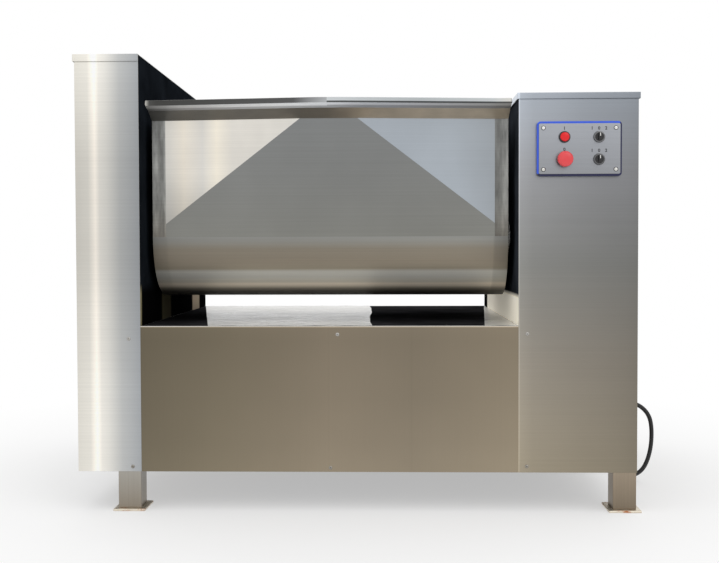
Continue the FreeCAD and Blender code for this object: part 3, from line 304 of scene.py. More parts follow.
@dataclass(frozen=True)
class SheetFinish:
    """Stainless sheet with brushed lines and a tone that changes over the piece: its colour ramp and its
    fade paint light, shade and reflections.
    """

    name: str
    axis: Axis
    low: float
    high: float
    stops: tuple[Stop, ...]
    grain: Grain = Grain.LEVEL
    roughness: float = 0.34
    streak: float = 0.05
    cloud: float = 0.06
    metal: float = 1.0
    # The fade multiplies the colour by up to 2 along its own axis: painted light and shade.
    fade_axis: Axis = Axis.Z
    fade_low: float = 0.0
    fade_high: float = 1.2
    fade: tuple[tuple[float, float], ...] = ((0.0, 1.0), (1.0, 1.0))
    patch: tuple[float, float, float] = (2.2, 2.2, 2.2)

    def build(self) -> Material:
        """Make the material."""
        graph = Graph(self.name)
        graph.metal(self.metal)
        base = graph.ramp(graph.along(self.axis, self.low, self.high), self.stops)
        shade = graph.span_stops(graph.along(self.fade_axis, self.fade_low, self.fade_high), self.fade)
        lines = graph.noise(self.grain.value, 6.0, 0.7)
        streaks = graph.span(lines, *NOISE_BODY, 1.0 - self.streak, 1.0 + self.streak)
        patches = graph.noise(self.patch, 3.0, 0.5)
        clouds = graph.span(patches, *NOISE_BODY, 1.0 - self.cloud, 1.0 + self.cloud)
        graph.colour(graph.scaled(base, graph.times(shade, graph.times(streaks, clouds))))
        graph.roughness(graph.span(lines, 0.2, 0.8, self.roughness * 0.75, self.roughness * 1.3))
        graph.bump(lines, BRUSH_DEPTH)
        return graph.material


@dataclass(frozen=True)
class PaintedReflectionFinish:
    """Polished sheet in a dark colour that is a painted reflection of a dark room, with painted reflected
    bands near its foot.
    """

    name: str
    colour: Colour
    bands: tuple[Stop, ...]
    near: float
    far: float
    low: float
    high: float
    painted_glow: float = 0.0

    def build(self) -> Material:
        """Make the material, with the painted reflected bands below the low height and the painted dark
        reflection above the high one.
        """
        graph = Graph(self.name)
        graph.shader.inputs["Specular IOR Level"].default_value = 0.0
        cloud = graph.noise((7.0, 7.0, 7.0), 4.0, 0.6)
        # The dark colour is a painted reflection; the noise only varies it at random.
        dark = graph.mix(graph.span(cloud, 0.35, 0.7), self.colour, tuple(c * 2.2 for c in self.colour))
        foot = graph.ramp(graph.along(Axis.Y, self.near, self.far), self.bands)
        above = graph.along(Axis.Z, self.low, self.high)
        graph.colour(graph.mix(above, foot, dark))
        # The bands glow by the painted glow strength: painted light, though the sheet is no lamp.
        graph.link(graph.mix(above, foot, (0.0, 0.0, 0.0)), graph.shader.inputs["Emission Color"])
        graph.shader.inputs["Emission Strength"].default_value = self.painted_glow
        graph.roughness(graph.span(cloud, *NOISE_BODY, 0.4, 0.6))
        graph.bump(graph.noise((300.0, 300.0, 300.0)), 0.00002)
        return graph.material


@dataclass(frozen=True)
class TrimFinish:
    """Moulded plastic frame, bright where it faces the sky, with painted shade along its foot and right
    side.
    """

    name: str
    colour: Colour
    shade: Colour
    low: Vector
    high: Vector
    blur: float = 0.0015

    def build(self) -> Material:
        """Make the material."""
        graph = Graph(self.name)
        # These masks put the painted shade along the foot and the right side.
        side = graph.along(Axis.X, self.high.x - self.blur, self.high.x)
        above = graph.along(Axis.Z, self.low.z, self.low.z + self.blur)
        fine = graph.noise((400.0, 400.0, 400.0), 3.0, 0.6)
        lit = graph.mix(graph.span(fine, *NOISE_BODY, 0.0, 0.12), self.colour, self.shade)
        graph.colour(graph.mix(above, self.shade, graph.mix(side, lit, self.shade)))
        graph.roughness(graph.span(fine, *NOISE_BODY, 0.3, 0.45))
        graph.bump(fine, 0.00004)
        return graph.material


@dataclass(frozen=True)
class PaintFinish:
    """Painted, cast or moulded surface with a fine texture and a little dirt."""

    name: str
    colour: Colour
    worn: Colour
    roughness: float = 0.45
    metal: float = 0.0
    texture: float = 300.0
    depth: float = 0.00005
    coat: float = 0.0

    def build(self) -> Material:
        """Make the material."""
        graph = Graph(self.name)
        graph.metal(self.metal)
        graph.shader.inputs["Coat Weight"].default_value = self.coat
        cloud = graph.noise((14.0, 14.0, 14.0), 5.0, 0.65)
        graph.colour(graph.mix(graph.span(cloud, 0.45, 0.75, 0.0, 0.7), self.colour, self.worn))
        fine = graph.noise((self.texture, self.texture, self.texture), 3.0, 0.6)
        graph.roughness(graph.span(cloud, *NOISE_BODY, self.roughness * 0.8, self.roughness * 1.2))
        graph.bump(fine, self.depth)
        return graph.material


@dataclass(frozen=True)
class RustyPlateFinish:
    """Pale ground foot plate with small rust stains."""

    name: str
    colour: Colour
    rust: Colour

    def build(self) -> Material:
        """Make the material."""
        graph = Graph(self.name)
        spots = graph.noise((34.0, 34.0, 90.0), 5.0, 0.7)
        amount = graph.span(spots, 0.56, 0.68)
        tone = graph.mix(graph.noise((160.0, 160.0, 160.0)), self.colour,
                         tuple(c * 0.75 for c in self.colour))
        graph.colour(graph.mix(amount, tone, self.rust))
        graph.link(graph.span(amount, 0.0, 1.0, 0.8, 0.0), graph.shader.inputs["Metallic"])
        graph.roughness(graph.span(amount, 0.0, 1.0, 0.42, 0.85))
        graph.bump(spots, 0.0003)
        return graph.material


@dataclass(frozen=True)
class FilmFinish:
    """Thin cloudy protective film, creased where it has lifted, with painted shade in the creases."""

    name: str
    colour: Colour

    def build(self) -> Material:
        """Make the material."""
        graph = Graph(self.name)
        crease = graph.noise((9.0, 26.0, 9.0), 6.0, 0.7)
        # Darker where the crease noise is high: painted shade in the creases.
        graph.colour(graph.mix(graph.span(crease, 0.35, 0.7), self.colour,
                               tuple(c * 0.72 for c in self.colour)))
        graph.roughness(graph.span(crease, *NOISE_BODY, 0.22, 0.42))
        graph.shader.inputs["Coat Weight"].default_value = 0.5
        graph.shader.inputs["Coat Roughness"].default_value = 0.2
        graph.bump(crease, 0.0008)
        return graph.material


class Workshop:
    """Makes objects, dresses them and puts them on their bodies."""

    def __init__(self, frame: dict) -> None:
        """Keep the frame.
        """
        self.nodes = frame["nodes"]
        self.slots = {row["node"]: row["material_slot"] for row in frame["record"]["subparts"]}
        self.bodies = {node: body for body, nodes in frame["record"]["behaviour"]["bodies"].items()
                       for node in nodes}

    def add(self, name: str, bm: Mesh, materials: Sequence[Material],
            body: str, slot: str) -> Piece:
        """Turn a bmesh into a piece on a body.

        Args:
            name: The piece's name.
            bm: Its mesh, which is freed.
            materials: Its materials, by material index.
            body: The body that it rides on.
            slot: The record's material slot; not used.

        Returns:
            The piece.
        """
        mesh = bpy.data.meshes.new(name)
        bm.to_mesh(mesh)
        bm.free()
        for material in materials:
            mesh.materials.append(material)
        mesh.shade_smooth()
        mesh.set_sharp_from_angle(angle=SHARP_ANGLE)
        piece = bpy.data.objects.new(name, mesh)
        bpy.context.scene.collection.objects.link(piece)
        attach(piece, body)
        log.info("%s rides on %s with %d faces", name, body, len(mesh.polygons))
        return piece

    def copy(self, node: str) -> Mesh:
        """A merged copy of a node's mesh, with its flat faces made whole."""
        bm = bmesh.new()
        bm.from_mesh(self.nodes[node].data)
        bmesh.ops.remove_doubles(bm, verts=bm.verts, dist=MERGE_DISTANCE)
        bmesh.ops.dissolve_limit(bm, angle_limit=FLAT_ANGLE, verts=bm.verts, edges=bm.edges)
        return bm

    def soften(self, node: str, width: float, materials: Sequence[Material],
               sort: Callable[[bmesh.types.BMFace], int] | None = None, segments: int = 2,
               cuts: Sequence[float] = ()) -> Piece:
        """Stand a copy of a node with rolled edges in its place.

        Args:
            node: The node.
            width: The width of the rolled edges.
            materials: Its materials, by material index.
            sort: Gives a face's material index.
            segments: How many faces go round an edge.
            cuts: Places along X where faces are parted for the sake of their materials.

        Returns:
            The piece that replaces the node.
        """
        bm = self.copy(node)
        for x in cuts:
            bmesh.ops.bisect_plane(bm, geom=bm.verts[:] + bm.edges[:] + bm.faces[:], dist=MERGE_DISTANCE,
                                   plane_co=(x, 0.0, 0.0), plane_no=(1.0, 0.0, 0.0))
        if sort is not None:
            for face in bm.faces:
                face.material_index = sort(face)
        edges = [e for e in bm.edges if len(e.link_faces) == 2 and e.calc_face_angle(0.0) > SHARP_ANGLE]
        bmesh.ops.bevel(bm, geom=edges, offset=width, offset_type="OFFSET", segments=segments, profile=0.5,
                        affect="EDGES", material=-1, clamp_overlap=True)
        piece = self.add(f"{node}_sheet", bm, materials, self.bodies[node], self.slots[node])
        piece.modifiers.new("flat_faces_stay_flat", "WEIGHTED_NORMAL").keep_sharp = True
        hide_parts(node)
        return piece

    def dress(self, material: Material, nodes: Iterable[str]) -> None:
        """Give CAD nodes a finish and leave their shapes as they are."""
        for node in nodes:
            mesh = self.nodes[node].data
            mesh.materials.clear()
            mesh.materials.append(material)
            log.info("%s keeps its own shape", node)


class Lathe:
    """Turned shapes, from a profile of radius and height."""

    @staticmethod
    def turn(bm: Mesh, profile: Sequence[tuple[float, float]], place: Matrix,
             steps: int = 48, material: int = 0) -> None:
        """Spin a profile round the local Z axis and put it in place.

        Args:
            bm: The mesh that it goes into.
            profile: Radius and height, from one end of the axis to the other.
            place: Where the turned shape goes.
            steps: How many faces go round.
            material: The faces' material index.
        """
        verts = [bm.verts.new((radius, 0.0, height)) for radius, height in profile]
        edges = [bm.edges.new(pair) for pair in zip(verts, verts[1:])]
        before = set(bm.faces)
        bmesh.ops.spin(bm, geom=verts + edges, cent=(0, 0, 0), axis=(0, 0, 1), angle=FULL_TURN,
                       steps=steps, use_merge=True, use_duplicate=False)
        faces = [f for f in bm.faces if f not in before]
        points = list({v for f in faces for v in f.verts})
        bmesh.ops.remove_doubles(bm, verts=points, dist=MERGE_DISTANCE)
        faces = [f for f in bm.faces if f not in before]
        bmesh.ops.recalc_face_normals(bm, faces=faces)
        for face in faces:
            face.material_index = material
        points = list({v for f in faces for v in f.verts})
        bmesh.ops.transform(bm, matrix=place, verts=points)


def facing_front(x: float, y: float, z: float) -> Matrix:
    """Place a shape's local Z axis along -Y at a point."""
    return Matrix.Translation((x, y, z)) @ Euler((math.pi / 2, 0.0, 0.0)).to_matrix().to_4x4()


def along_x(x: float, y: float, z: float) -> Matrix:
    """Place a shape's local Z axis along +X at a point."""
    return Matrix.Translation((x, y, z)) @ Euler((0.0, math.pi / 2, 0.0)).to_matrix().to_4x4()


def rounded_block(bm: Mesh, low: Vector, high: Vector, radius: float, segments: int,
                  material: int = 0) -> None:
    """A block between two corners, with round edges.

    Args:
        bm: The mesh that it goes into.
        low: The lowest corner.
        high: The highest corner.
        radius: The radius of the edges.
        segments: How many faces go round an edge.
        material: The faces' material index.
    """
    before = set(bm.faces)
    size = high - low
    place = Matrix.Translation((low + high) / 2) @ Matrix.Diagonal((*size, 1.0))
    verts = bmesh.ops.create_cube(bm, size=1.0, matrix=place)["verts"]
    edges = list({e for v in verts for e in v.link_edges})
    bmesh.ops.bevel(bm, geom=edges, offset=radius, offset_type="OFFSET", segments=segments, profile=0.5,
                    affect="EDGES", material=-1, clamp_overlap=True)
    for face in set(bm.faces) - before:
        face.material_index = material


@dataclass
class Cladding:
    """Sheet casings of the columns and the base cabinet."""

    shop: Workshop
    fold: float = 0.0012
    film_lift: float = 0.0008
    film_left: tuple[float, float] = (-0.385, -0.560)
    film_right: tuple[float, float] = (0.037, 0.020)
    film_corner: tuple[float, float] = (0.330, 0.415)
    # Painted reflections on the left inner panel and the deck: pale bands of reflected light with near
    # black between them.
    left_painted_reflection_bands: tuple[Stop, ...] = (
        (0.0, srgb(150, 142, 112)), (0.016, srgb(140, 132, 102)), (0.022, srgb(8, 8, 9)),
        (0.27, srgb(8, 8, 9)),
        (0.29, srgb(84, 80, 62)), (0.40, srgb(74, 70, 56)), (0.42, srgb(8, 8, 9)), (0.76, srgb(8, 8, 9)),
        (0.78, srgb(176, 160, 140)), (0.89, srgb(170, 156, 136)), (0.91, srgb(8, 8, 9)))
    # Painted reflection on the right inner panel: cream light towards the front of its foot, near black at
    # the back.
    right_painted_reflection_bands: tuple[Stop, ...] = (
        (0.0, srgb(244, 238, 222)), (0.1, srgb(252, 246, 230)), (0.35, srgb(252, 245, 228)),
        (0.90, srgb(242, 236, 222)), (0.92, srgb(16, 16, 18)), (1.0, srgb(16, 16, 18)))

    def finishes(self) -> dict[str, Material]:
        """The sheets' materials."""
        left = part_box("left_casing")
        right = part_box("right_casing")
        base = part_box("base_front_panel")
        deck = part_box("base_top_plate")[1].z
        return {
            # Painted light and reflection: a bright upright highlight left of the middle, and lighter at
            # the foot and top of the column.
            "left": SheetFinish("left_column_sheet", Axis.X, left[0].x, left[1].x,
                                tones((0.0, 203, 200, 192), (0.2, 210, 207, 199), (0.31, 244, 237, 226),
                                      (0.38, 216, 213, 206), (0.48, 207, 205, 199),
                                      (0.7, 173, 174, 173), (1.0, 151, 154, 157)),
                                fade_low=left[0].z, fade_high=left[1].z,
                                fade=((0.0, 1.36), (0.3, 1.15), (0.55, 0.97), (0.75, 1.03),
                                      (1.0, 1.36))).build(),
            # Painted light: lighter towards the front, at the foot and at the top.
            "left_side": SheetFinish("left_column_side_sheet", Axis.Y, left[0].y, left[1].y,
                                     tones((0.0, 188, 187, 182), (0.25, 170, 170, 167),
                                           (1.0, 158, 159, 160)),
                                     fade_low=left[0].z, fade_high=left[1].z,
                                     fade=((0.0, 1.1), (0.5, 0.94), (1.0, 1.06))).build(),
            # Painted reflections: warm brown low and blue grey high, with a painted highlight line along
            # the left edge and painted shade towards the right.
            "right": SheetFinish("right_column_sheet", Axis.Z, right[0].z, right[1].z,
                                 tones((0.0, 146, 137, 120), (0.3, 138, 132, 122),
                                       (0.55, 129, 129, 126), (0.8, 144, 145, 148),
                                       (1.0, 156, 162, 170)),
                                 fade_axis=Axis.X, fade_low=right[0].x, fade_high=right[1].x,
                                 fade=((0.0, 1.95), (0.006, 1.95), (0.011, 1.36), (0.12, 1.18), (0.5, 1.0),
                                       (0.9, 0.84),
                                       (1.0, 0.78))).build(),
            # Painted reflection of the ground: warm brown, lighter towards the foot, with a painted
            # highlight line along the top edge.
            "base": SheetFinish("base_sheet", Axis.X, base[0].x, base[1].x,
                                tones((0.0, 112, 104, 88), (0.22, 123, 114, 97), (0.496, 139, 128, 111),
                                      (0.499, 137, 126, 109), (0.502, 139, 128, 111),
                                      (0.717, 132, 122, 106), (0.719, 130, 120, 104),
                                      (0.721, 132, 122, 106), (1.0, 142, 131, 113)), grain=Grain.UPRIGHT,
                                      streak=0.025, cloud=0.05,
                                fade_low=base[0].z, fade_high=base[1].z,
                                fade=((0.0, 1.30), (0.2, 1.14), (0.5, 1.0), (0.9, 0.90), (0.994, 0.94),
                                      (0.996, 1.9), (1.0, 1.9))).build(),
            # The inner panels and the deck: their dark colours and bands are painted reflections, and the
            # right panel has a painted glow.
            "painted_reflection_left": PaintedReflectionFinish("left_painted_dark_reflection", srgb(19, 22, 26), self.left_painted_reflection_bands,
                                            base[0].y, -base[0].y, deck + 0.085, deck + 0.11).build(),
            "painted_reflection_right": PaintedReflectionFinish("right_painted_dark_reflection", srgb(36, 39, 44), self.right_painted_reflection_bands,
                                             base[0].y, -base[0].y, deck + 0.070, deck + 0.082,
                                             0.22).build(),
            "deck": PaintedReflectionFinish("deck_painted_dark_reflection", srgb(34, 34, 36), self.left_painted_reflection_bands,
                                     base[0].y, -base[0].y, 0.0, 0.1).build(),
            # A painted highlight along the deck's front edge.
            "edge": SheetFinish("deck_edge_painted_highlight", Axis.X, base[0].x, base[1].x,
                                tones((0.0, 238, 234, 228), (1.0, 232, 228, 220))).build(),
            "film": FilmFinish("protective_film", srgb(246, 244, 238)).build(),
        }

    def build(self) -> None:
        """Dress the casings, caps, inner panels, base panels and deck."""
        use = self.finishes()
        for node in ("left_casing", "left_cap"):
            self.shop.soften(node, self.fold, [use["left"], use["left_side"]],
                             lambda face: 0 if face.normal.y < -0.2 else 1)
        for node, finish in (("right_casing", "right"), ("right_cap", "right"),
                             ("base_front_panel", "base"),
                             ("base_rear_panel", "base"), ("left_inner_panel", "painted_reflection_left"),
                             ("right_inner_panel", "painted_reflection_right")):
            self.shop.soften(node, self.fold if "inner" not in node else self.fold / 3, [use[finish]])
        self.shop.soften("base_top_plate", self.fold / 4, [use["deck"], use["edge"]],
                         lambda face: 1 if face.normal.y < -0.5 else 0)
        low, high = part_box("base_top_plate")
        self.film("deck_film_left", use["film"], self.film_left, self.film_right, 0.003)
        self.film("deck_film_right", use["film"], self.film_corner,
                  (high.x - self.fold, high.x - self.fold), 0.0)

    def film(self, name: str, material: Material, left: tuple[float, float],
             right: tuple[float, float], wave: float) -> None:
        """Lay a piece of the film that still covers the deck.

        Args:
            name: The piece's name.
            material: The film.
            left: Where its left edge starts at the front and ends at the back.
            right: The same for its right edge.
            wave: How far its right edge wanders.
        """
        low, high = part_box("base_top_plate")
        near, far = low.y + self.fold, high.y - self.fold
        bm = bmesh.new()
        bmesh.ops.create_grid(bm, x_segments=48, y_segments=48, size=0.5)
        for vert in bm.verts:
            across, along = vert.co.x + 0.5, vert.co.y + 0.5
            start = max(left[0] + (left[1] - left[0]) * along, low.x + self.fold)
            end = right[0] + (right[1] - right[0]) * along
            y = near + (far - near) * along
            edge = wave * across * (math.sin(y * 9.0) + 0.3 * math.sin(y * 23.0))
            x = start + (end - start) * across + edge
            swell = 0.0005 * math.sin(x * 71.0) * math.sin(y * 43.0 + x * 9.0)
            vert.co = (x, y, high.z + self.film_lift + swell)
        self.shop.add(name, bm, [material], "frame", "mirror_sheet")


@dataclass
class Trough:
    """The folded trough, its rim and its end plates."""

    shop: Workshop
    fold: float = 0.0015
    strip: float = 0.036
    belly_top: float = 0.712

    def facets(self, low: Vector, high: Vector) -> list[Material]:
        """The finishes of the shell's facets, in the order of their material indices; the facets' different
        tones are painted light, shade and reflections on one steel.
        """
        middle = (low.x + high.x) / 2
        # Darker lower down inside the trough: painted shade.
        inside = tones((0.0, 150, 148, 142), (1.0, 186, 187, 184))
        # Painted reflections: a brown band of the ground, a thin highlight and a dark foot.
        belly = tones((0.0, 66, 64, 58), (0.08, 78, 74, 67), (0.13, 138, 131, 119),
                      (0.17, 205, 194, 176), (0.21, 226, 214, 196), (0.25, 198, 192, 178),
                      (0.33, 190, 188, 180), (0.42, 192, 190, 182), (0.47, 150, 141, 124),
                      (0.6, 138, 128, 112), (0.8, 132, 124, 110), (0.93, 137, 136, 130),
                      (1.0, 139, 139, 135))
        # Lighter towards the top: painted light.
        weld = tones((0.0, 128, 124, 116), (0.3, 142, 142, 138), (1.0, 150, 151, 149))
        seam = self.strip / (high.x - low.x)
        return [finish.build() for finish in (
            # Painted highlights as bright upright streaks, and painted shade at the facet's foot.
            SheetFinish("trough_left_facet", Axis.X, low.x, middle,
                        tones((0.0, 214, 213, 209), (0.1, 218, 215, 208), (0.18, 234, 227, 214),
                              (0.29, 220, 217, 211), (0.37, 244, 237, 222), (0.46, 228, 224, 216),
                              (1.0, 224, 221, 214)), streak=0.06, cloud=0.08, patch=(7.0, 7.0, 4.0),
                        fade_low=0.75, fade_high=1.02, fade=((0.0, 0.66), (0.5, 0.96), (1.0, 1.04))),
            # Darker grey than the other facets: painted shade.
            SheetFinish("trough_centre_facet", Axis.Z, self.belly_top, high.z,
                        tones((0.0, 132, 132, 127), (0.5, 131, 132, 130), (1.0, 134, 136, 136)),
                        streak=0.07, patch=(4.0, 4.0, 3.0)),
            # Blue grey, darker to the right: painted reflection.
            SheetFinish("trough_right_facet", Axis.X, middle, high.x,
                        tones((0.0, 172, 179, 187), (0.7, 168, 175, 182), (1.0, 158, 163, 168)),
                        streak=0.05, patch=(5.0, 5.0, 3.0)),
            SheetFinish("trough_belly", Axis.Z, low.z, self.belly_top, belly, metal=0.35, roughness=0.42,
                        streak=0.08, fade_axis=Axis.X, fade_low=low.x, fade_high=high.x,
                        # Darker at both ends and towards the left: painted shade.
                        fade=((0.0, 0.80), (seam, 0.82), (seam * 1.15, 0.92), (0.5, 1.0), (0.8, 1.10),
                              (1.0 - seam * 1.1, 1.12), (1.0 - seam, 0.90), (1.0, 0.86))),
            SheetFinish("trough_weld_strip", Axis.Z, self.belly_top, high.z, weld, streak=0.10, cloud=0.42,
                        metal=0.6, patch=(60.0, 60.0, 13.0), fade_axis=Axis.X, fade_low=low.x,
                        fade_high=high.x,
                        # Lighter and darker patches across the strips: painted light and shade; the mottle
                        # is the welds' own.
                        fade=((0.0, 1.12), (seam * 0.35, 1.12), (seam * 0.6, 0.8), (seam * 0.8, 0.84),
                              (seam, 1.2),
                              (1.0 - seam, 0.68), (1.0 - seam * 0.55, 0.66), (1.0 - seam * 0.4, 1.08),
                              (1.0, 1.12))),
            SheetFinish("trough_inside", Axis.Z, low.z, high.z, inside),
        )]

    def build(self) -> None:
        """Dress the trough shell by facet, then the rim and the plates."""
        low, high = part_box("trough_shell")
        left, right = low.x + self.strip, high.x - self.strip
        front = low.y + 0.08

        def sort(face: bmesh.types.BMFace) -> int:
            """The facet that a face of the shell belongs to."""
            at = face.calc_center_median()
            normal = face.normal
            if at.y > front or (at.z > self.belly_top and normal.y > -0.7):
                return 3 if at.z < self.belly_top and normal.z < 0.02 else 5
            if normal.y > 0.02 and normal.z > 0.02:
                return 5
            if at.z > self.belly_top - 0.002 and (at.x < left or at.x > right):
                return 4
            if abs(normal.x) > 0.02:
                return 0 if normal.x < 0 else 2
            return 1 if at.z > self.belly_top - 0.002 else 3

        self.shop.soften("trough_shell", self.fold, self.facets(low, high), sort, cuts=(left, right))
        self.rim(low, high)
        # Lighter towards the top: painted light.
        plate = SheetFinish("end_plate_sheet", Axis.Z, low.z, high.z,
                            tones((0.0, 132, 131, 127), (0.5, 146, 146, 143), (1.0, 176, 177, 174))).build()
        for node in ("gear_chamber_cover", "gear_partition", "right_end_plate"):
            self.shop.soften(node, self.fold, [plate])

    def rim(self, low: Vector, high: Vector) -> None:
        """Dress the rim: its lip, the underside of its shelf and its flare, each band with painted light,
        shade and reflections.
        """
        # A painted highlight at the lip's left end and painted shade along its left half.
        lip_left = SheetFinish("rim_lip_left", Axis.X, low.x, high.x,
                               tones((0.0, 198, 196, 190), (0.010, 84, 84, 82), (0.03, 72, 72, 70),
                                     (0.25, 84, 84, 83), (0.41, 92, 92, 92), (0.45, 140, 141, 142),
                                     (0.5, 176, 178, 180)))
        lip_right = SheetFinish("rim_lip_right", Axis.X, low.x, high.x,
                                tones((0.5, 204, 208, 210), (0.75, 178, 183, 185),
                                      (0.95, 188, 192, 193), (1.0, 210, 208, 202)),
                                # A painted shadow line along the foot of the lip.
                                fade_low=high.z + 0.0305, fade_high=high.z + 0.0415,
                                fade=((0.0, 0.15), (0.14, 0.2), (0.2, 1.0), (1.0, 1.0)))
        # Painted light on the shelf's underside, with painted shade along its lower and upper edges.
        shelf_left = SheetFinish("rim_shelf_left", Axis.X, low.x, high.x,
                                 tones((0.0, 130, 129, 126), (0.1, 180, 180, 180),
                                       (0.25, 222, 223, 225), (0.42, 250, 252, 254),
                                       (0.5, 240, 243, 247)), metal=0.0, roughness=0.25,
                                 fade_low=high.z + 0.022, fade_high=high.z + 0.0305,
                                 fade=((0.0, 0.5), (0.08, 0.8), (0.2, 1.0), (0.74, 1.0), (0.86, 0.35),
                                       (1.0, 0.3)))
        # Painted light, with painted shade along the lower and upper edges.
        shelf_right = SheetFinish("rim_shelf_right", Axis.X, low.x, high.x,
                                  tones((0.5, 240, 243, 247), (0.6, 206, 209, 215),
                                        (0.8, 180, 180, 182), (1.0, 160, 158, 154)), metal=0.0,
                                        roughness=0.25,
                                  fade_low=high.z + 0.022, fade_high=high.z + 0.0305,
                                  fade=((0.0, 0.5), (0.14, 0.55), (0.26, 1.0), (0.9, 1.0), (1.0, 0.6)))
        # Painted reflection of the brown ground, darker towards the left.
        flare = SheetFinish("rim_flare", Axis.X, low.x, high.x,
                            tones((0.0, 92, 91, 87), (0.3, 104, 100, 93), (0.5, 122, 114, 102),
                                  (0.6, 176, 161, 141), (1.0, 196, 181, 159)), metal=0.5,
                            cloud=0.10, patch=(16.0, 16.0, 30.0))
        # Lighter towards the right: painted light.
        top = SheetFinish("rim_inside", Axis.X, low.x, high.x,
                          tones((0.0, 150, 150, 148), (1.0, 190, 191, 190)))

        def sort(face: bmesh.types.BMFace) -> int:
            """The band that a face of the rim belongs to."""
            normal = face.normal
            side = 0 if face.calc_center_median().x < middle else 1
            if normal.z > 0.3 or normal.y > 0.3:
                return 5
            if normal.z < -0.93:
                return 2 + side
            return 4 if normal.z < -0.25 else side

        middle = (low.x + high.x) / 2
        bands = [f.build() for f in (lip_left, lip_right, shelf_left, shelf_right, flare, top)]
        self.shop.soften("spout_rim", self.fold, bands, sort, cuts=(middle,))


@dataclass
class Structure:
    """Legs, rails, plates and drives behind the cladding."""

    shop: Workshop
    fold: float = 0.002
    groups: dict[str, tuple[str, ...]] = field(default_factory=lambda: {
        "leg": ("leg_front_left", "leg_rear_left"),
        "far_leg": ("leg_front_right", "leg_rear_right"),
        "rail": ("right_posts", "base_rails", "deck_rails", "cross_rails", "drive_beams",
                 "left_bearing_plate", "right_bearing_plate", "tilt_shelf"),
        "casting": ("left_trunnion_bearing", "right_trunnion_bearing", "rear_shaft_bearings",
                    "mixing_gearbox", "tilt_gearbox"),
        "motor": ("mixing_motor", "tilt_motor"),
        "shaft": ("left_trunnion", "right_trunnion", "front_agitator", "rear_agitator"),
        "gear": ("front_gear", "rear_gear", "tilt_gear", "tilt_pinion", "drive_sprocket",
                 "driven_sprocket"),
        "chain": ("drive_chain",),
        "seal": ("shaft_seals",),
        "box": ("electrical_box",),
        "foot": ("foot_plates",),
    })

    def build(self) -> None:
        """Dress every group of pieces."""
        # Lighter upwards and darker at the foot: painted light and shade.
        grey = tones((0.0, 150, 140, 126), (1.0, 172, 168, 160))
        finishes = {
            "leg": SheetFinish("leg_tube_steel", Axis.Z, 0.0, 0.102, grey, grain=Grain.UPRIGHT,
                               streak=0.12),
            # The right legs are the same steel painted darker and warmer: painted shade.
            "far_leg": SheetFinish("right_leg_steel_painted_warm_shade", Axis.Z, 0.0, 0.102,
                                   tones((0.0, 128, 116, 100), (1.0, 152, 139, 122)), grain=Grain.UPRIGHT,
                                   streak=0.12),
            "rail": SheetFinish("rail_steel", Axis.Z, 0.1, 1.0, grey, grain=Grain.LEVEL, roughness=0.4),
            "casting": PaintFinish("cast_housing", srgb(92, 104, 116), srgb(70, 78, 86), 0.5, 0.0, 160.0,
                                   0.0004),
            "motor": PaintFinish("motor_paint", srgb(70, 98, 126), srgb(52, 70, 92), 0.4, 0.0, 200.0,
                                 0.0002),
            # Lighter towards the top: painted light.
            "shaft": SheetFinish("turned_steel", Axis.Z, 0.5, 0.9,
                                 tones((0.0, 172, 172, 170), (1.0, 196, 196, 194)),
                                 grain=Grain.ACROSS, roughness=0.25),
            "gear": PaintFinish("cut_gear_steel", srgb(132, 132, 134), srgb(84, 80, 74), 0.32, 1.0, 500.0),
            "chain": PaintFinish("oiled_chain", srgb(98, 94, 90), srgb(48, 44, 40), 0.34, 1.0, 400.0),
            "seal": PaintFinish("seal_rubber", srgb(30, 30, 31), srgb(42, 41, 40), 0.6, 0.0, 600.0),
            "box": PaintFinish("box_powder_coat", srgb(206, 206, 200), srgb(188, 186, 178), 0.5, 0.0,
                               900.0, 0.0001),
            "foot": RustyPlateFinish("foot_plate_steel", srgb(242, 232, 214), srgb(184, 112, 62)),
        }
        for group, nodes in self.groups.items():
            material = finishes[group].build()
            if group in ("leg", "far_leg", "foot"):
                for node in nodes:
                    self.shop.soften(node, self.fold, [material])
            else:
                self.shop.dress(material, nodes)


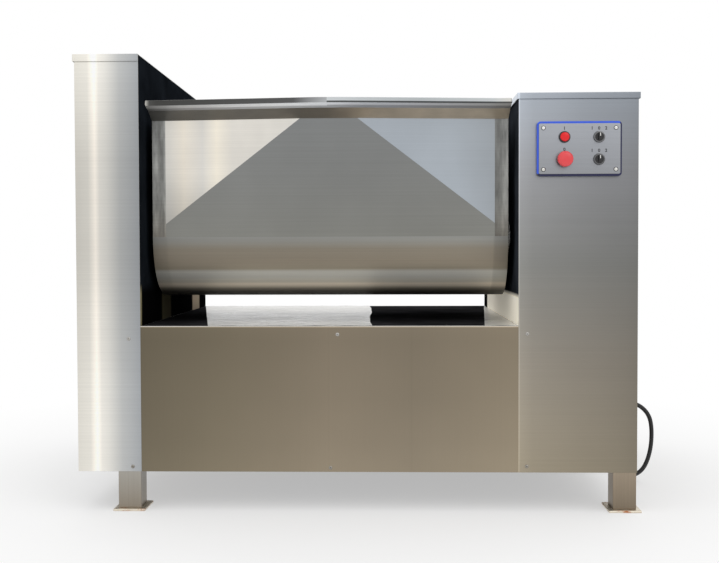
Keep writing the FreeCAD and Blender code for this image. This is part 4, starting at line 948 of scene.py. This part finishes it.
@dataclass
class ControlPanel:
    """The control plate with its trim, lamp, stop button and selectors."""

    shop: Workshop
    label_size: float = 0.0112
    label_lift: float = 0.0003
    label_bold: float = 0.00035
    screw_inset: float = 0.0115
    screw_radius: float = 0.0045

    def __post_init__(self) -> None:
        """Read the panel's places from the frame."""
        self.plate_low, self.plate_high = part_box("control_plate")
        self.face = self.plate_low.y

    def build(self) -> None:
        """Build every piece of the panel."""
        # Lighter towards the top: painted light.
        plate = SheetFinish("control_plate_metal", Axis.Z, self.plate_low.z, self.plate_high.z,
                            tones((0.0, 150, 152, 156), (1.0, 166, 169, 175))).build()
        # The dark navy along the trim's foot and right side is painted shade.
        trim = TrimFinish("blue_trim", srgb(44, 92, 226), srgb(14, 18, 66), self.plate_low, self.plate_high)
        self.shop.soften("control_plate", 0.0006, [plate])
        self.shop.soften("panel_gasket", 0.0008, [trim.build()], segments=3)
        self.black = PaintFinish("black_switch_plastic", srgb(24, 24, 26), srgb(36, 36, 38), 0.35, 0.0,
                                 900.0).build()
        # Lighter towards the top: painted light.
        self.ring = SheetFinish("chromed_ring", Axis.Z, self.plate_low.z, self.plate_high.z,
                                tones((0.0, 96, 96, 97), (1.0, 122, 122, 124)), roughness=0.22).build()
        # Lighter towards the top: painted light.
        self.dull = SheetFinish("dull_screw_head", Axis.Z, self.plate_low.z, self.plate_high.z,
                                tones((0.0, 214, 213, 208), (1.0, 226, 226, 224)), roughness=0.16).build()
        self.white = PaintFinish("white_mark", srgb(232, 232, 228), srgb(220, 220, 216), 0.5).build()
        self.lamp()
        self.stop()
        for name in ("mix", "tilt"):
            self.selector(name)
        self.bezels()
        self.labels()
        self.screws()

    def centre(self, node: str) -> Vector:
        """The middle of a node's box."""
        low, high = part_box(node)
        return (low + high) / 2

    def lamp(self) -> None:
        """The red pilot lamp: a body behind the plate, a black ring and a domed lens."""
        at = self.centre("pilot_lamp")
        low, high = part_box("pilot_lamp")
        radius = (high.x - low.x) / 2
        lens = PaintFinish("red_lens", srgb(222, 0, 10), srgb(228, 4, 18), 0.3, coat=0.02).build()
        bm = bmesh.new()
        place = facing_front(at.x, self.face, at.z)
        Lathe.turn(bm, ((0.0, 0.0), (radius, 0.0), (radius, 0.003), (radius * 0.93, 0.0058),
                        (radius * 0.80, 0.006), (0.0, 0.006)), place)
        Lathe.turn(bm, ((0.0, 0.0055), (radius * 0.78, 0.0055), (radius * 0.78, 0.0078),
                        (radius * 0.70, 0.0094),
                        (radius * 0.45, 0.0104), (0.0, 0.0108)), place, material=1)
        Lathe.turn(bm, ((0.0, -0.022), (0.0108, -0.022), (0.0108, 0.0), (0.0, 0.0)), place)
        piece = self.shop.add("pilot_lamp_dressed", bm, [self.black, lens], "frame", "lamp")
        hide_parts("pilot_lamp")

    def stop(self) -> None:
        """The emergency stop: collar on the plate and mushroom head on its stem."""
        low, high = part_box("stop_button")
        at = (low + high) / 2
        radius = (high.x - low.x) / 2
        depth = self.face - low.y
        red = PaintFinish("stop_red", srgb(220, 54, 60), srgb(230, 82, 86), 0.30, coat=0.3).build()
        place = facing_front(at.x, self.face, at.z)
        bm = bmesh.new()
        Lathe.turn(bm, ((0.0, depth - 0.0001), (radius * 0.30, depth - 0.0002),
                        (radius * 0.62, depth - 0.0008),
                        (radius * 0.86, depth - 0.0026), (radius * 0.97, depth - 0.0052),
                        (radius, depth - 0.0080),
                        (radius * 0.98, depth - 0.0122), (radius * 0.90, depth - 0.0130),
                        (0.0070, depth - 0.0130), (0.0070, -0.0210), (0.0, -0.0210)), place, steps=64)
        piece = self.shop.add("stop_button_head", bm, [red], "stop_button", "stop_red")
        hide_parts("stop_button")
        self.shop.soften("stop_collar", 0.0006, [self.black])

    def selector(self, name: str) -> None:
        """A selector: a skirt, a raised grip and a white pointer.

        Args:
            name: Which selector.
        """
        node = f"{name}_switch_knob"
        low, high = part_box(node)
        at = (low + high) / 2
        radius = (high.x - low.x) / 2
        height = self.face - low.y
        place = facing_front(at.x, self.face, at.z)
        bm = bmesh.new()
        Lathe.turn(bm, ((0.0, height * 0.62), (radius * 0.86, height * 0.62),
                        (radius * 0.97, height * 0.56),
                        (radius, height * 0.36), (0.0, height * 0.36)), place)
        Lathe.turn(bm, ((0.0, -0.021), (0.0069, -0.021), (0.0069, height * 0.37), (0.0, height * 0.37)),
                   place)
        half = radius * 0.34
        rounded_block(bm, Vector((at.x - half, low.y, at.z - radius * 0.92)),
                      Vector((at.x + half, self.face - height * 0.4, at.z + radius * 0.92)), 0.0016, 3)
        rounded_block(bm, Vector((at.x - 0.0011, low.y - 0.0001, at.z + radius * 0.05)),
                      Vector((at.x + 0.0011, low.y + 0.001, at.z + radius * 0.80)), 0.0003, 1, 1)
        piece = self.shop.add(f"{name}_selector", bm, [self.black, self.white], node, "black_plastic")
        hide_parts(node)

    def bezels(self) -> None:
        """The selectors' bezels, turned as one ring each."""
        low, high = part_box("switch_bezels")
        radius = (high.x - low.x) / 2
        x = (low.x + high.x) / 2
        bm = bmesh.new()
        for z in (low.z + radius, high.z - radius):
            place = facing_front(x, self.face, z)
            Lathe.turn(bm, ((0.0074, -0.021), (0.0110, -0.021), (0.0110, 0.0), (radius, 0.0),
                            (radius, 0.003),
                            (radius * 0.93, 0.0056), (radius * 0.82, 0.006), (0.0074, 0.006),
                            (0.0074, -0.021)),
                       place)
        piece = self.shop.add("switch_bezel_rings", bm, [self.ring], "frame", "black_plastic")
        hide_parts("switch_bezels")

    def labels(self) -> None:
        """Plain numbers above each control."""
        lamp = self.centre("pilot_lamp")
        stop = self.centre("stop_button")
        mix = self.centre("mix_switch_knob")
        tilt = self.centre("tilt_switch_knob")
        rows = (("1", lamp, 0.0185), ("0", stop, 0.0215), ("1  0  2", mix, 0.0185),
                ("1  0  2", tilt, 0.0185))
        for index, (text, at, lift) in enumerate(rows):
            curve = bpy.data.curves.new(f"label_{index}", "FONT")
            curve.body = text
            curve.size = self.label_size
            curve.extrude = self.label_lift / 2
            curve.offset = self.label_bold
            curve.align_x = "CENTER"
            curve.space_character = 1.35
            mark = bpy.data.objects.new(f"label_text_{index}", curve)
            bpy.context.scene.collection.objects.link(mark)
            bpy.context.view_layer.update()
            mesh = bpy.data.meshes.new_from_object(mark)
            bpy.data.objects.remove(mark)
            mesh.transform(facing_front(at.x, self.face, at.z + lift))
            mesh.materials.clear()
            mesh.materials.append(self.black)
            piece = bpy.data.objects.new(f"panel_number_{index}", mesh)
            bpy.context.scene.collection.objects.link(piece)
            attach(piece, "frame")

    def screws(self) -> None:
        """Four domed screws in the plate's corners, each on a thin black ring of painted shadow."""
        bm = bmesh.new()
        for x in (self.plate_low.x + self.screw_inset, self.plate_high.x - self.screw_inset):
            for z in (self.plate_low.z + self.screw_inset, self.plate_high.z - self.screw_inset):
                place = facing_front(x, self.face, z)
                cross_head(bm, place, self.screw_radius, 0.0024)
                # A thin black ring under each head: painted shadow.
                painted_shadow_ring = self.screw_radius * 1.3
                Lathe.turn(bm, ((0.0, 0.0), (painted_shadow_ring, 0.0), (painted_shadow_ring, 0.0003), (0.0, 0.0003)), place, 24, 1)
        self.shop.add("panel_screws", bm, [self.dull, self.black], "frame", "screw_steel")


def cross_head(bm: Mesh, place: Matrix, radius: float, height: float) -> None:
    """A domed screw head with a round pit in its middle.

    Args:
        bm: The mesh that it goes into.
        place: Where it goes, with its axis outwards.
        radius: The head's radius.
        height: The head's height.
    """
    Lathe.turn(bm, ((0.0, 0.0), (radius, 0.0), (radius * 0.96, height * 0.45),
                    (radius * 0.72, height * 0.85),
                    (radius * 0.42, height), (radius * 0.14, height * 0.55), (0.0, height * 0.5)), place,
                    steps=16)


@dataclass
class Screws:
    """Screw heads along the casings' inner edges."""

    shop: Workshop
    radius: float = 0.005
    height: float = 0.003

    def build(self) -> None:
        """Put a domed head on every one of the model's screw heads."""
        bm = bmesh.new()
        source = self.shop.copy("casing_screws")
        places = []
        for face in source.faces:
            if face.normal.y < -0.9:
                at = face.calc_center_bounds()
                places.append((at.x, face.verts[0].co.y + self.height, at.z))
        source.free()
        for x, y, z in places:
            cross_head(bm, facing_front(x, y, z), self.radius, self.height)
        # Lighter towards the top: painted light.
        steel = SheetFinish("screw_head_steel", Axis.Z, 0.1, 0.5,
                            tones((0.0, 150, 146, 138), (1.0, 176, 174, 170)), roughness=0.25)
        piece = self.shop.add("casing_screw_heads", bm, [steel.build()], "frame", "screw_steel")
        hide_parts("casing_screws")


@dataclass
class Supply:
    """The power cable from its gland to its plug."""

    shop: Workshop
    diameter: float = 0.012
    turn_radius: float = 0.066
    column_step: float = 0.0065
    turns: int = 5
    points_per_turn: int = 12

    def build(self) -> None:
        """Build the cable, its gland and its plug."""
        rubber = PaintFinish("cable_rubber", srgb(20, 20, 21), srgb(34, 33, 33), 0.5, 0.0, 700.0,
                             0.00008).build()
        self.gland(rubber)
        plug = self.plug(rubber)
        curve = bpy.data.curves.new("power_cable_line", "CURVE")
        curve.dimensions = "3D"
        # The points' radius is the cable's, because the box of a curve counts that radius.
        curve.bevel_depth = 1.0
        curve.bevel_resolution = 6
        curve.resolution_u = 8
        curve.use_fill_caps = True
        route = self.route()
        spline = curve.splines.new("NURBS")
        spline.points.add(len(route) - 1)
        for point, place in zip(spline.points, route):
            point.co = (*place, 1.0)
            point.radius = self.diameter / 2
        spline.order_u = 3
        spline.use_endpoint_u = True
        curve.materials.append(rubber)
        piece = bpy.data.objects.new("power_cable_lead", curve)
        bpy.context.scene.collection.objects.link(piece)
        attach(piece, "frame")
        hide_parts("power_cable", "cable_coil")
        length = self.measure(piece)
        log.info("cable length %.3f", length)

    def measure(self, piece: Piece) -> float:
        """The length of a curve's own line."""
        depth = piece.data.bevel_depth
        piece.data.bevel_depth = 0.0
        bpy.context.view_layer.update()
        mesh = bpy.data.meshes.new_from_object(piece)
        piece.data.bevel_depth = depth
        points = [v.co.copy() for v in mesh.vertices]
        bpy.data.meshes.remove(mesh)
        return sum((b - a).length for a, b in zip(points, points[1:]))

    def route(self) -> list[Vector]:
        """The cable's points: listed up to the coil, then the coil's turns, then the plug."""
        low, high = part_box("cable_gland")
        x, y, z = high.x, (low.y + high.y) / 2, (low.z + high.z) / 2
        floor = self.diameter / 2
        points = [
            Vector((x, y, z)), Vector((x + 0.032, y, z)), Vector((x + 0.057, y - 0.002, z - 0.010)),
            Vector((x + 0.076, y - 0.004, z - 0.029)), Vector((x + 0.086, y - 0.006, z - 0.054)),
            Vector((x + 0.088, y - 0.008, z - 0.100)), Vector((x + 0.083, y - 0.004, z - 0.148)),
            Vector((x + 0.070, y + 0.008, z - 0.192)), Vector((x + 0.052, y + 0.036, floor + 0.011)),
            Vector((x + 0.038, y + 0.084, floor)), Vector((x + 0.034, y + 0.158, floor)),
            Vector((x + 0.026, y + 0.250, floor)), Vector((x + 0.014, y + 0.340, floor)),
            Vector((x + 0.016, y + 0.436, floor)), Vector((x + 0.012, y + 0.532, floor)),
            Vector((x + 0.014, y + 0.622, floor)), Vector((x + 0.004, y + 0.702, floor)),
            Vector((x - 0.030, y + 0.764, floor)), Vector((x - 0.092, y + 0.792, floor)),
        ]
        low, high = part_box("cable_coil")
        middle = (low + high) / 2
        end = points[-1]
        start = math.atan2(end.y - middle.y, end.x - middle.x)
        count = self.turns * self.points_per_turn
        for i in range(1, count + 1):
            turn = i / self.points_per_turn
            angle = start + turn * FULL_TURN
            radius, height = self.winding(turn)
            points.append(Vector((middle.x + radius * math.cos(angle), middle.y + radius * math.sin(angle),
                                  floor + height)))
        plug_low, plug_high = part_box("plug")
        exit_y = middle.y + self.turn_radius
        points.append(Vector((middle.x - 0.004, exit_y, floor + 0.021)))
        points.append(Vector((plug_high.x + 0.012, exit_y, floor + 0.017)))
        points.append(Vector((plug_high.x - 0.004, exit_y, 0.022)))
        return points

    def winding(self, turn: float) -> tuple[float, float]:
        """Where the winding lies after so many turns.

        Args:
            turn: Turns from the start.

        Returns:
            The radius and the height above the first layer.
        """
        outer = self.turn_radius + self.column_step
        inner = self.turn_radius - self.column_step
        stages = ((0.0, self.turn_radius, 0.0), (0.15, outer, 0.0), (1.0, outer, 0.0), (1.3, inner, 0.0),
                  (2.0, inner, 0.0), (2.3, inner, self.diameter), (3.0, inner, self.diameter),
                  (3.3, outer, self.diameter), (4.0, outer, self.diameter),
                  (4.3, outer - 0.004, self.diameter * 2), (5.0, self.turn_radius, self.diameter * 2))
        for (t0, r0, h0), (t1, r1, h1) in zip(stages, stages[1:]):
            if turn <= t1:
                share = (turn - t0) / (t1 - t0)
                return r0 + (r1 - r0) * share, h0 + (h1 - h0) * share
        return self.turn_radius, self.diameter * 2

    def gland(self, rubber: Material) -> None:
        """The gland: a nut with flats, a dome and a tapered sleeve."""
        low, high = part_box("cable_gland")
        y, z = (low.y + high.y) / 2, (low.z + high.z) / 2
        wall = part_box("right_casing")[1].x
        radius = (high.z - low.z) / 2
        length = high.x - wall
        place = along_x(wall, y, z)
        bm = bmesh.new()
        Lathe.turn(bm, ((0.0, 0.0), (radius, 0.0), (radius, length * 0.22), (radius * 0.9, length * 0.30),
                        (0.0, length * 0.30)), place, steps=6)
        Lathe.turn(bm, ((0.0, length * 0.28), (radius * 0.84, length * 0.28), (radius * 0.84, length * 0.5),
                        (radius * 0.72, length * 0.66), (radius * 0.62, length * 0.8),
                        (radius * 0.55, length),
                        (0.0, length)), place, steps=32)
        Lathe.turn(bm, ((0.0, -0.012), (radius * 0.66, -0.012), (radius * 0.66, 0.0), (0.0, 0.0)), place)
        piece = self.shop.add("cable_gland_turned", bm, [rubber], "frame", "black_plastic")
        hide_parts("cable_gland")

    def plug(self, rubber: Material) -> Piece:
        """The plug: a ribbed body, a boot and four pins.

        Args:
            rubber: The body's material.

        Returns:
            The plug.
        """
        low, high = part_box("plug")
        radius = (high.z - low.z) / 2
        y, z = (low.y + high.y) / 2, (low.z + high.z) / 2
        pin, boot = 0.019, high.x - low.x - 0.019 - 0.062
        place = along_x(low.x + pin, y, z)
        bm = bmesh.new()
        body = 0.062
        profile = [(0.0, 0.0), (radius * 0.94, 0.0), (radius, 0.0015), (radius, body * 0.30)]
        for rib in range(6):
            at = body * (0.34 + 0.09 * rib)
            profile += [(radius * 0.93, at), (radius * 0.93, at + body * 0.04), (radius, at + body * 0.05),
                        (radius, at + body * 0.085)]
        profile += [(radius * 0.92, body * 0.96), (radius * 0.60, body), (radius * 0.50, body + boot * 0.2),
                    (0.0072, body + boot), (0.0, body + boot)]
        Lathe.turn(bm, profile, place, steps=40)
        for k in range(4):
            angle = FULL_TURN * (k / 4 + 0.25)
            spot = along_x(low.x, y + radius * 0.5 * math.cos(angle), z + radius * 0.5 * math.sin(angle))
            Lathe.turn(bm, ((0.0, 0.0), (0.0018, 0.0), (0.0025, 0.0010), (0.0025, pin + 0.001),
                            (0.0, pin + 0.001)),
                       spot, steps=16, material=1)
        # Lighter towards the top: painted light.
        metal = SheetFinish("plug_pin_metal", Axis.Z, 0.0, 0.05,
                            tones((0.0, 186, 160, 100), (1.0, 196, 172, 112)), roughness=0.25).build()
        piece = self.shop.add("plug_moulded", bm, [rubber, metal], "frame", "black_plastic")
        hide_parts("plug")
        return piece


@dataclass
class Studio:
    """Floor, light and camera."""

    camera_at: tuple[float, float, float] = (0.0846, -3.1386, 0.6763)
    yaw: float = math.radians(1.637)
    pitch: float = math.radians(-1.729)
    roll: float = math.radians(0.18)
    lens: float = 52.03
    floor_size: float = 40.0

    def build(self) -> None:
        """Put up the floor, the world, the lamps and the camera."""
        bm = bmesh.new()
        bmesh.ops.create_grid(bm, x_segments=1, y_segments=1, size=self.floor_size / 2)
        mesh = bpy.data.meshes.new("floor")
        bm.to_mesh(mesh)
        bm.free()
        floor = bpy.data.objects.new("floor", mesh)
        bpy.context.scene.collection.objects.link(floor)
        mesh.materials.append(self.floor_material())
        self.world()
        self.lamp("soft_key", (2.4, -3.6, 3.6), 3.0, 24.0)
        self.lamp("soft_top", (-0.4, 0.4, 4.6), 4.5, 24.0)
        self.camera()

    def floor_material(self) -> Material:
        """Pale floor that fades to white away from the mixer and keeps its shadow near it."""
        graph = Graph("pale_floor")
        graph.shader.inputs["Roughness"].default_value = 0.9
        graph.shader.inputs["Specular IOR Level"].default_value = 0.0
        cloud = graph.noise((0.6, 0.6, 0.6))
        graph.colour(graph.mix(graph.span(cloud, *NOISE_BODY), (0.93, 0.93, 0.93), (0.95, 0.95, 0.95)))
        tree = graph.tree
        seen = self.seen(tree)
        distance = tree.nodes.new("ShaderNodeVectorMath")
        distance.operation = "LENGTH"
        graph.link(graph.coords.outputs["Object"], distance.inputs[0])
        share = graph.times(seen, graph.span(distance.outputs["Value"], 0.9, 2.0, 0.45, 1.0))
        white = tree.nodes.new("ShaderNodeEmission")
        blend = tree.nodes.new("ShaderNodeMixShader")
        output = tree.nodes["Material Output"]
        graph.link(share, blend.inputs[0])
        graph.link(graph.shader.outputs[0], blend.inputs[1])
        graph.link(white.outputs[0], blend.inputs[2])
        graph.link(blend.outputs[0], output.inputs["Surface"])
        return graph.material

    def seen(self, tree: bpy.types.NodeTree) -> Socket:
        """One for camera, glossy and transmission rays, and nought for the rest."""
        path = tree.nodes.new("ShaderNodeLightPath")
        total = path.outputs["Is Camera Ray"]
        for name in ("Is Glossy Ray", "Is Transmission Ray"):
            node = tree.nodes.new("ShaderNodeMath")
            node.operation = "MAXIMUM"
            tree.links.new(total, node.inputs[0])
            tree.links.new(path.outputs[name], node.inputs[1])
            total = node.outputs[0]
        return total

    def world(self) -> None:
        """Even light, white to the camera and in reflections."""
        world = bpy.data.worlds.new("studio")
        bpy.context.scene.world = world
        world.use_nodes = True
        tree = world.node_tree
        background = tree.nodes["Background"]
        strength = tree.nodes.new("ShaderNodeMapRange")
        strength.inputs["To Min"].default_value = 0.92
        strength.inputs["To Max"].default_value = 1.0
        tree.links.new(self.seen(tree), strength.inputs["Value"])
        tree.links.new(strength.outputs["Result"], background.inputs["Strength"])
        background.inputs["Color"].default_value = (1.0, 1.0, 1.0, 1.0)

    def lamp(self, name: str, place: tuple[float, float, float], size: float, power: float) -> None:
        """A soft square lamp that looks at the mixer.

        Args:
            name: The lamp's name.
            place: Where it hangs.
            size: Its side.
            power: Its power in watts.
        """
        light = bpy.data.lights.new(name, "AREA")
        light.size = size
        light.energy = power
        item = bpy.data.objects.new(name, light)
        item.location = place
        item.rotation_euler = (Vector((0.0, 0.0, 0.6)) - Vector(place)).to_track_quat("-Z", "Y").to_euler()
        bpy.context.scene.collection.objects.link(item)

    def camera(self) -> None:
        """The camera, at the photograph's angle."""
        data = bpy.data.cameras.new("camera")
        data.sensor_width = SENSOR_WIDTH
        data.lens = self.lens
        item = bpy.data.objects.new("camera", data)
        turn = Matrix.Rotation(self.yaw, 4, "Z") @ Matrix.Rotation(math.pi / 2 + self.pitch, 4, "X")
        turn = turn @ Matrix.Rotation(-self.roll, 4, "Z")
        item.matrix_world = Matrix.Translation(self.camera_at) @ turn
        bpy.context.scene.collection.objects.link(item)
        bpy.context.scene.camera = item


def main() -> None:
    """Dress the mixer piece by piece."""
    logging.basicConfig(level=logging.INFO, format="%(name)s: %(message)s")
    bpy.context.scene.view_settings.view_transform = "Standard"
    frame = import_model()
    shop = Workshop(frame)
    Studio().build()
    Supply(shop).build()
    Cladding(shop).build()
    Trough(shop).build()
    Structure(shop).build()
    ControlPanel(shop).build()
    Screws(shop).build()


if __name__ == "__main__":
    main()
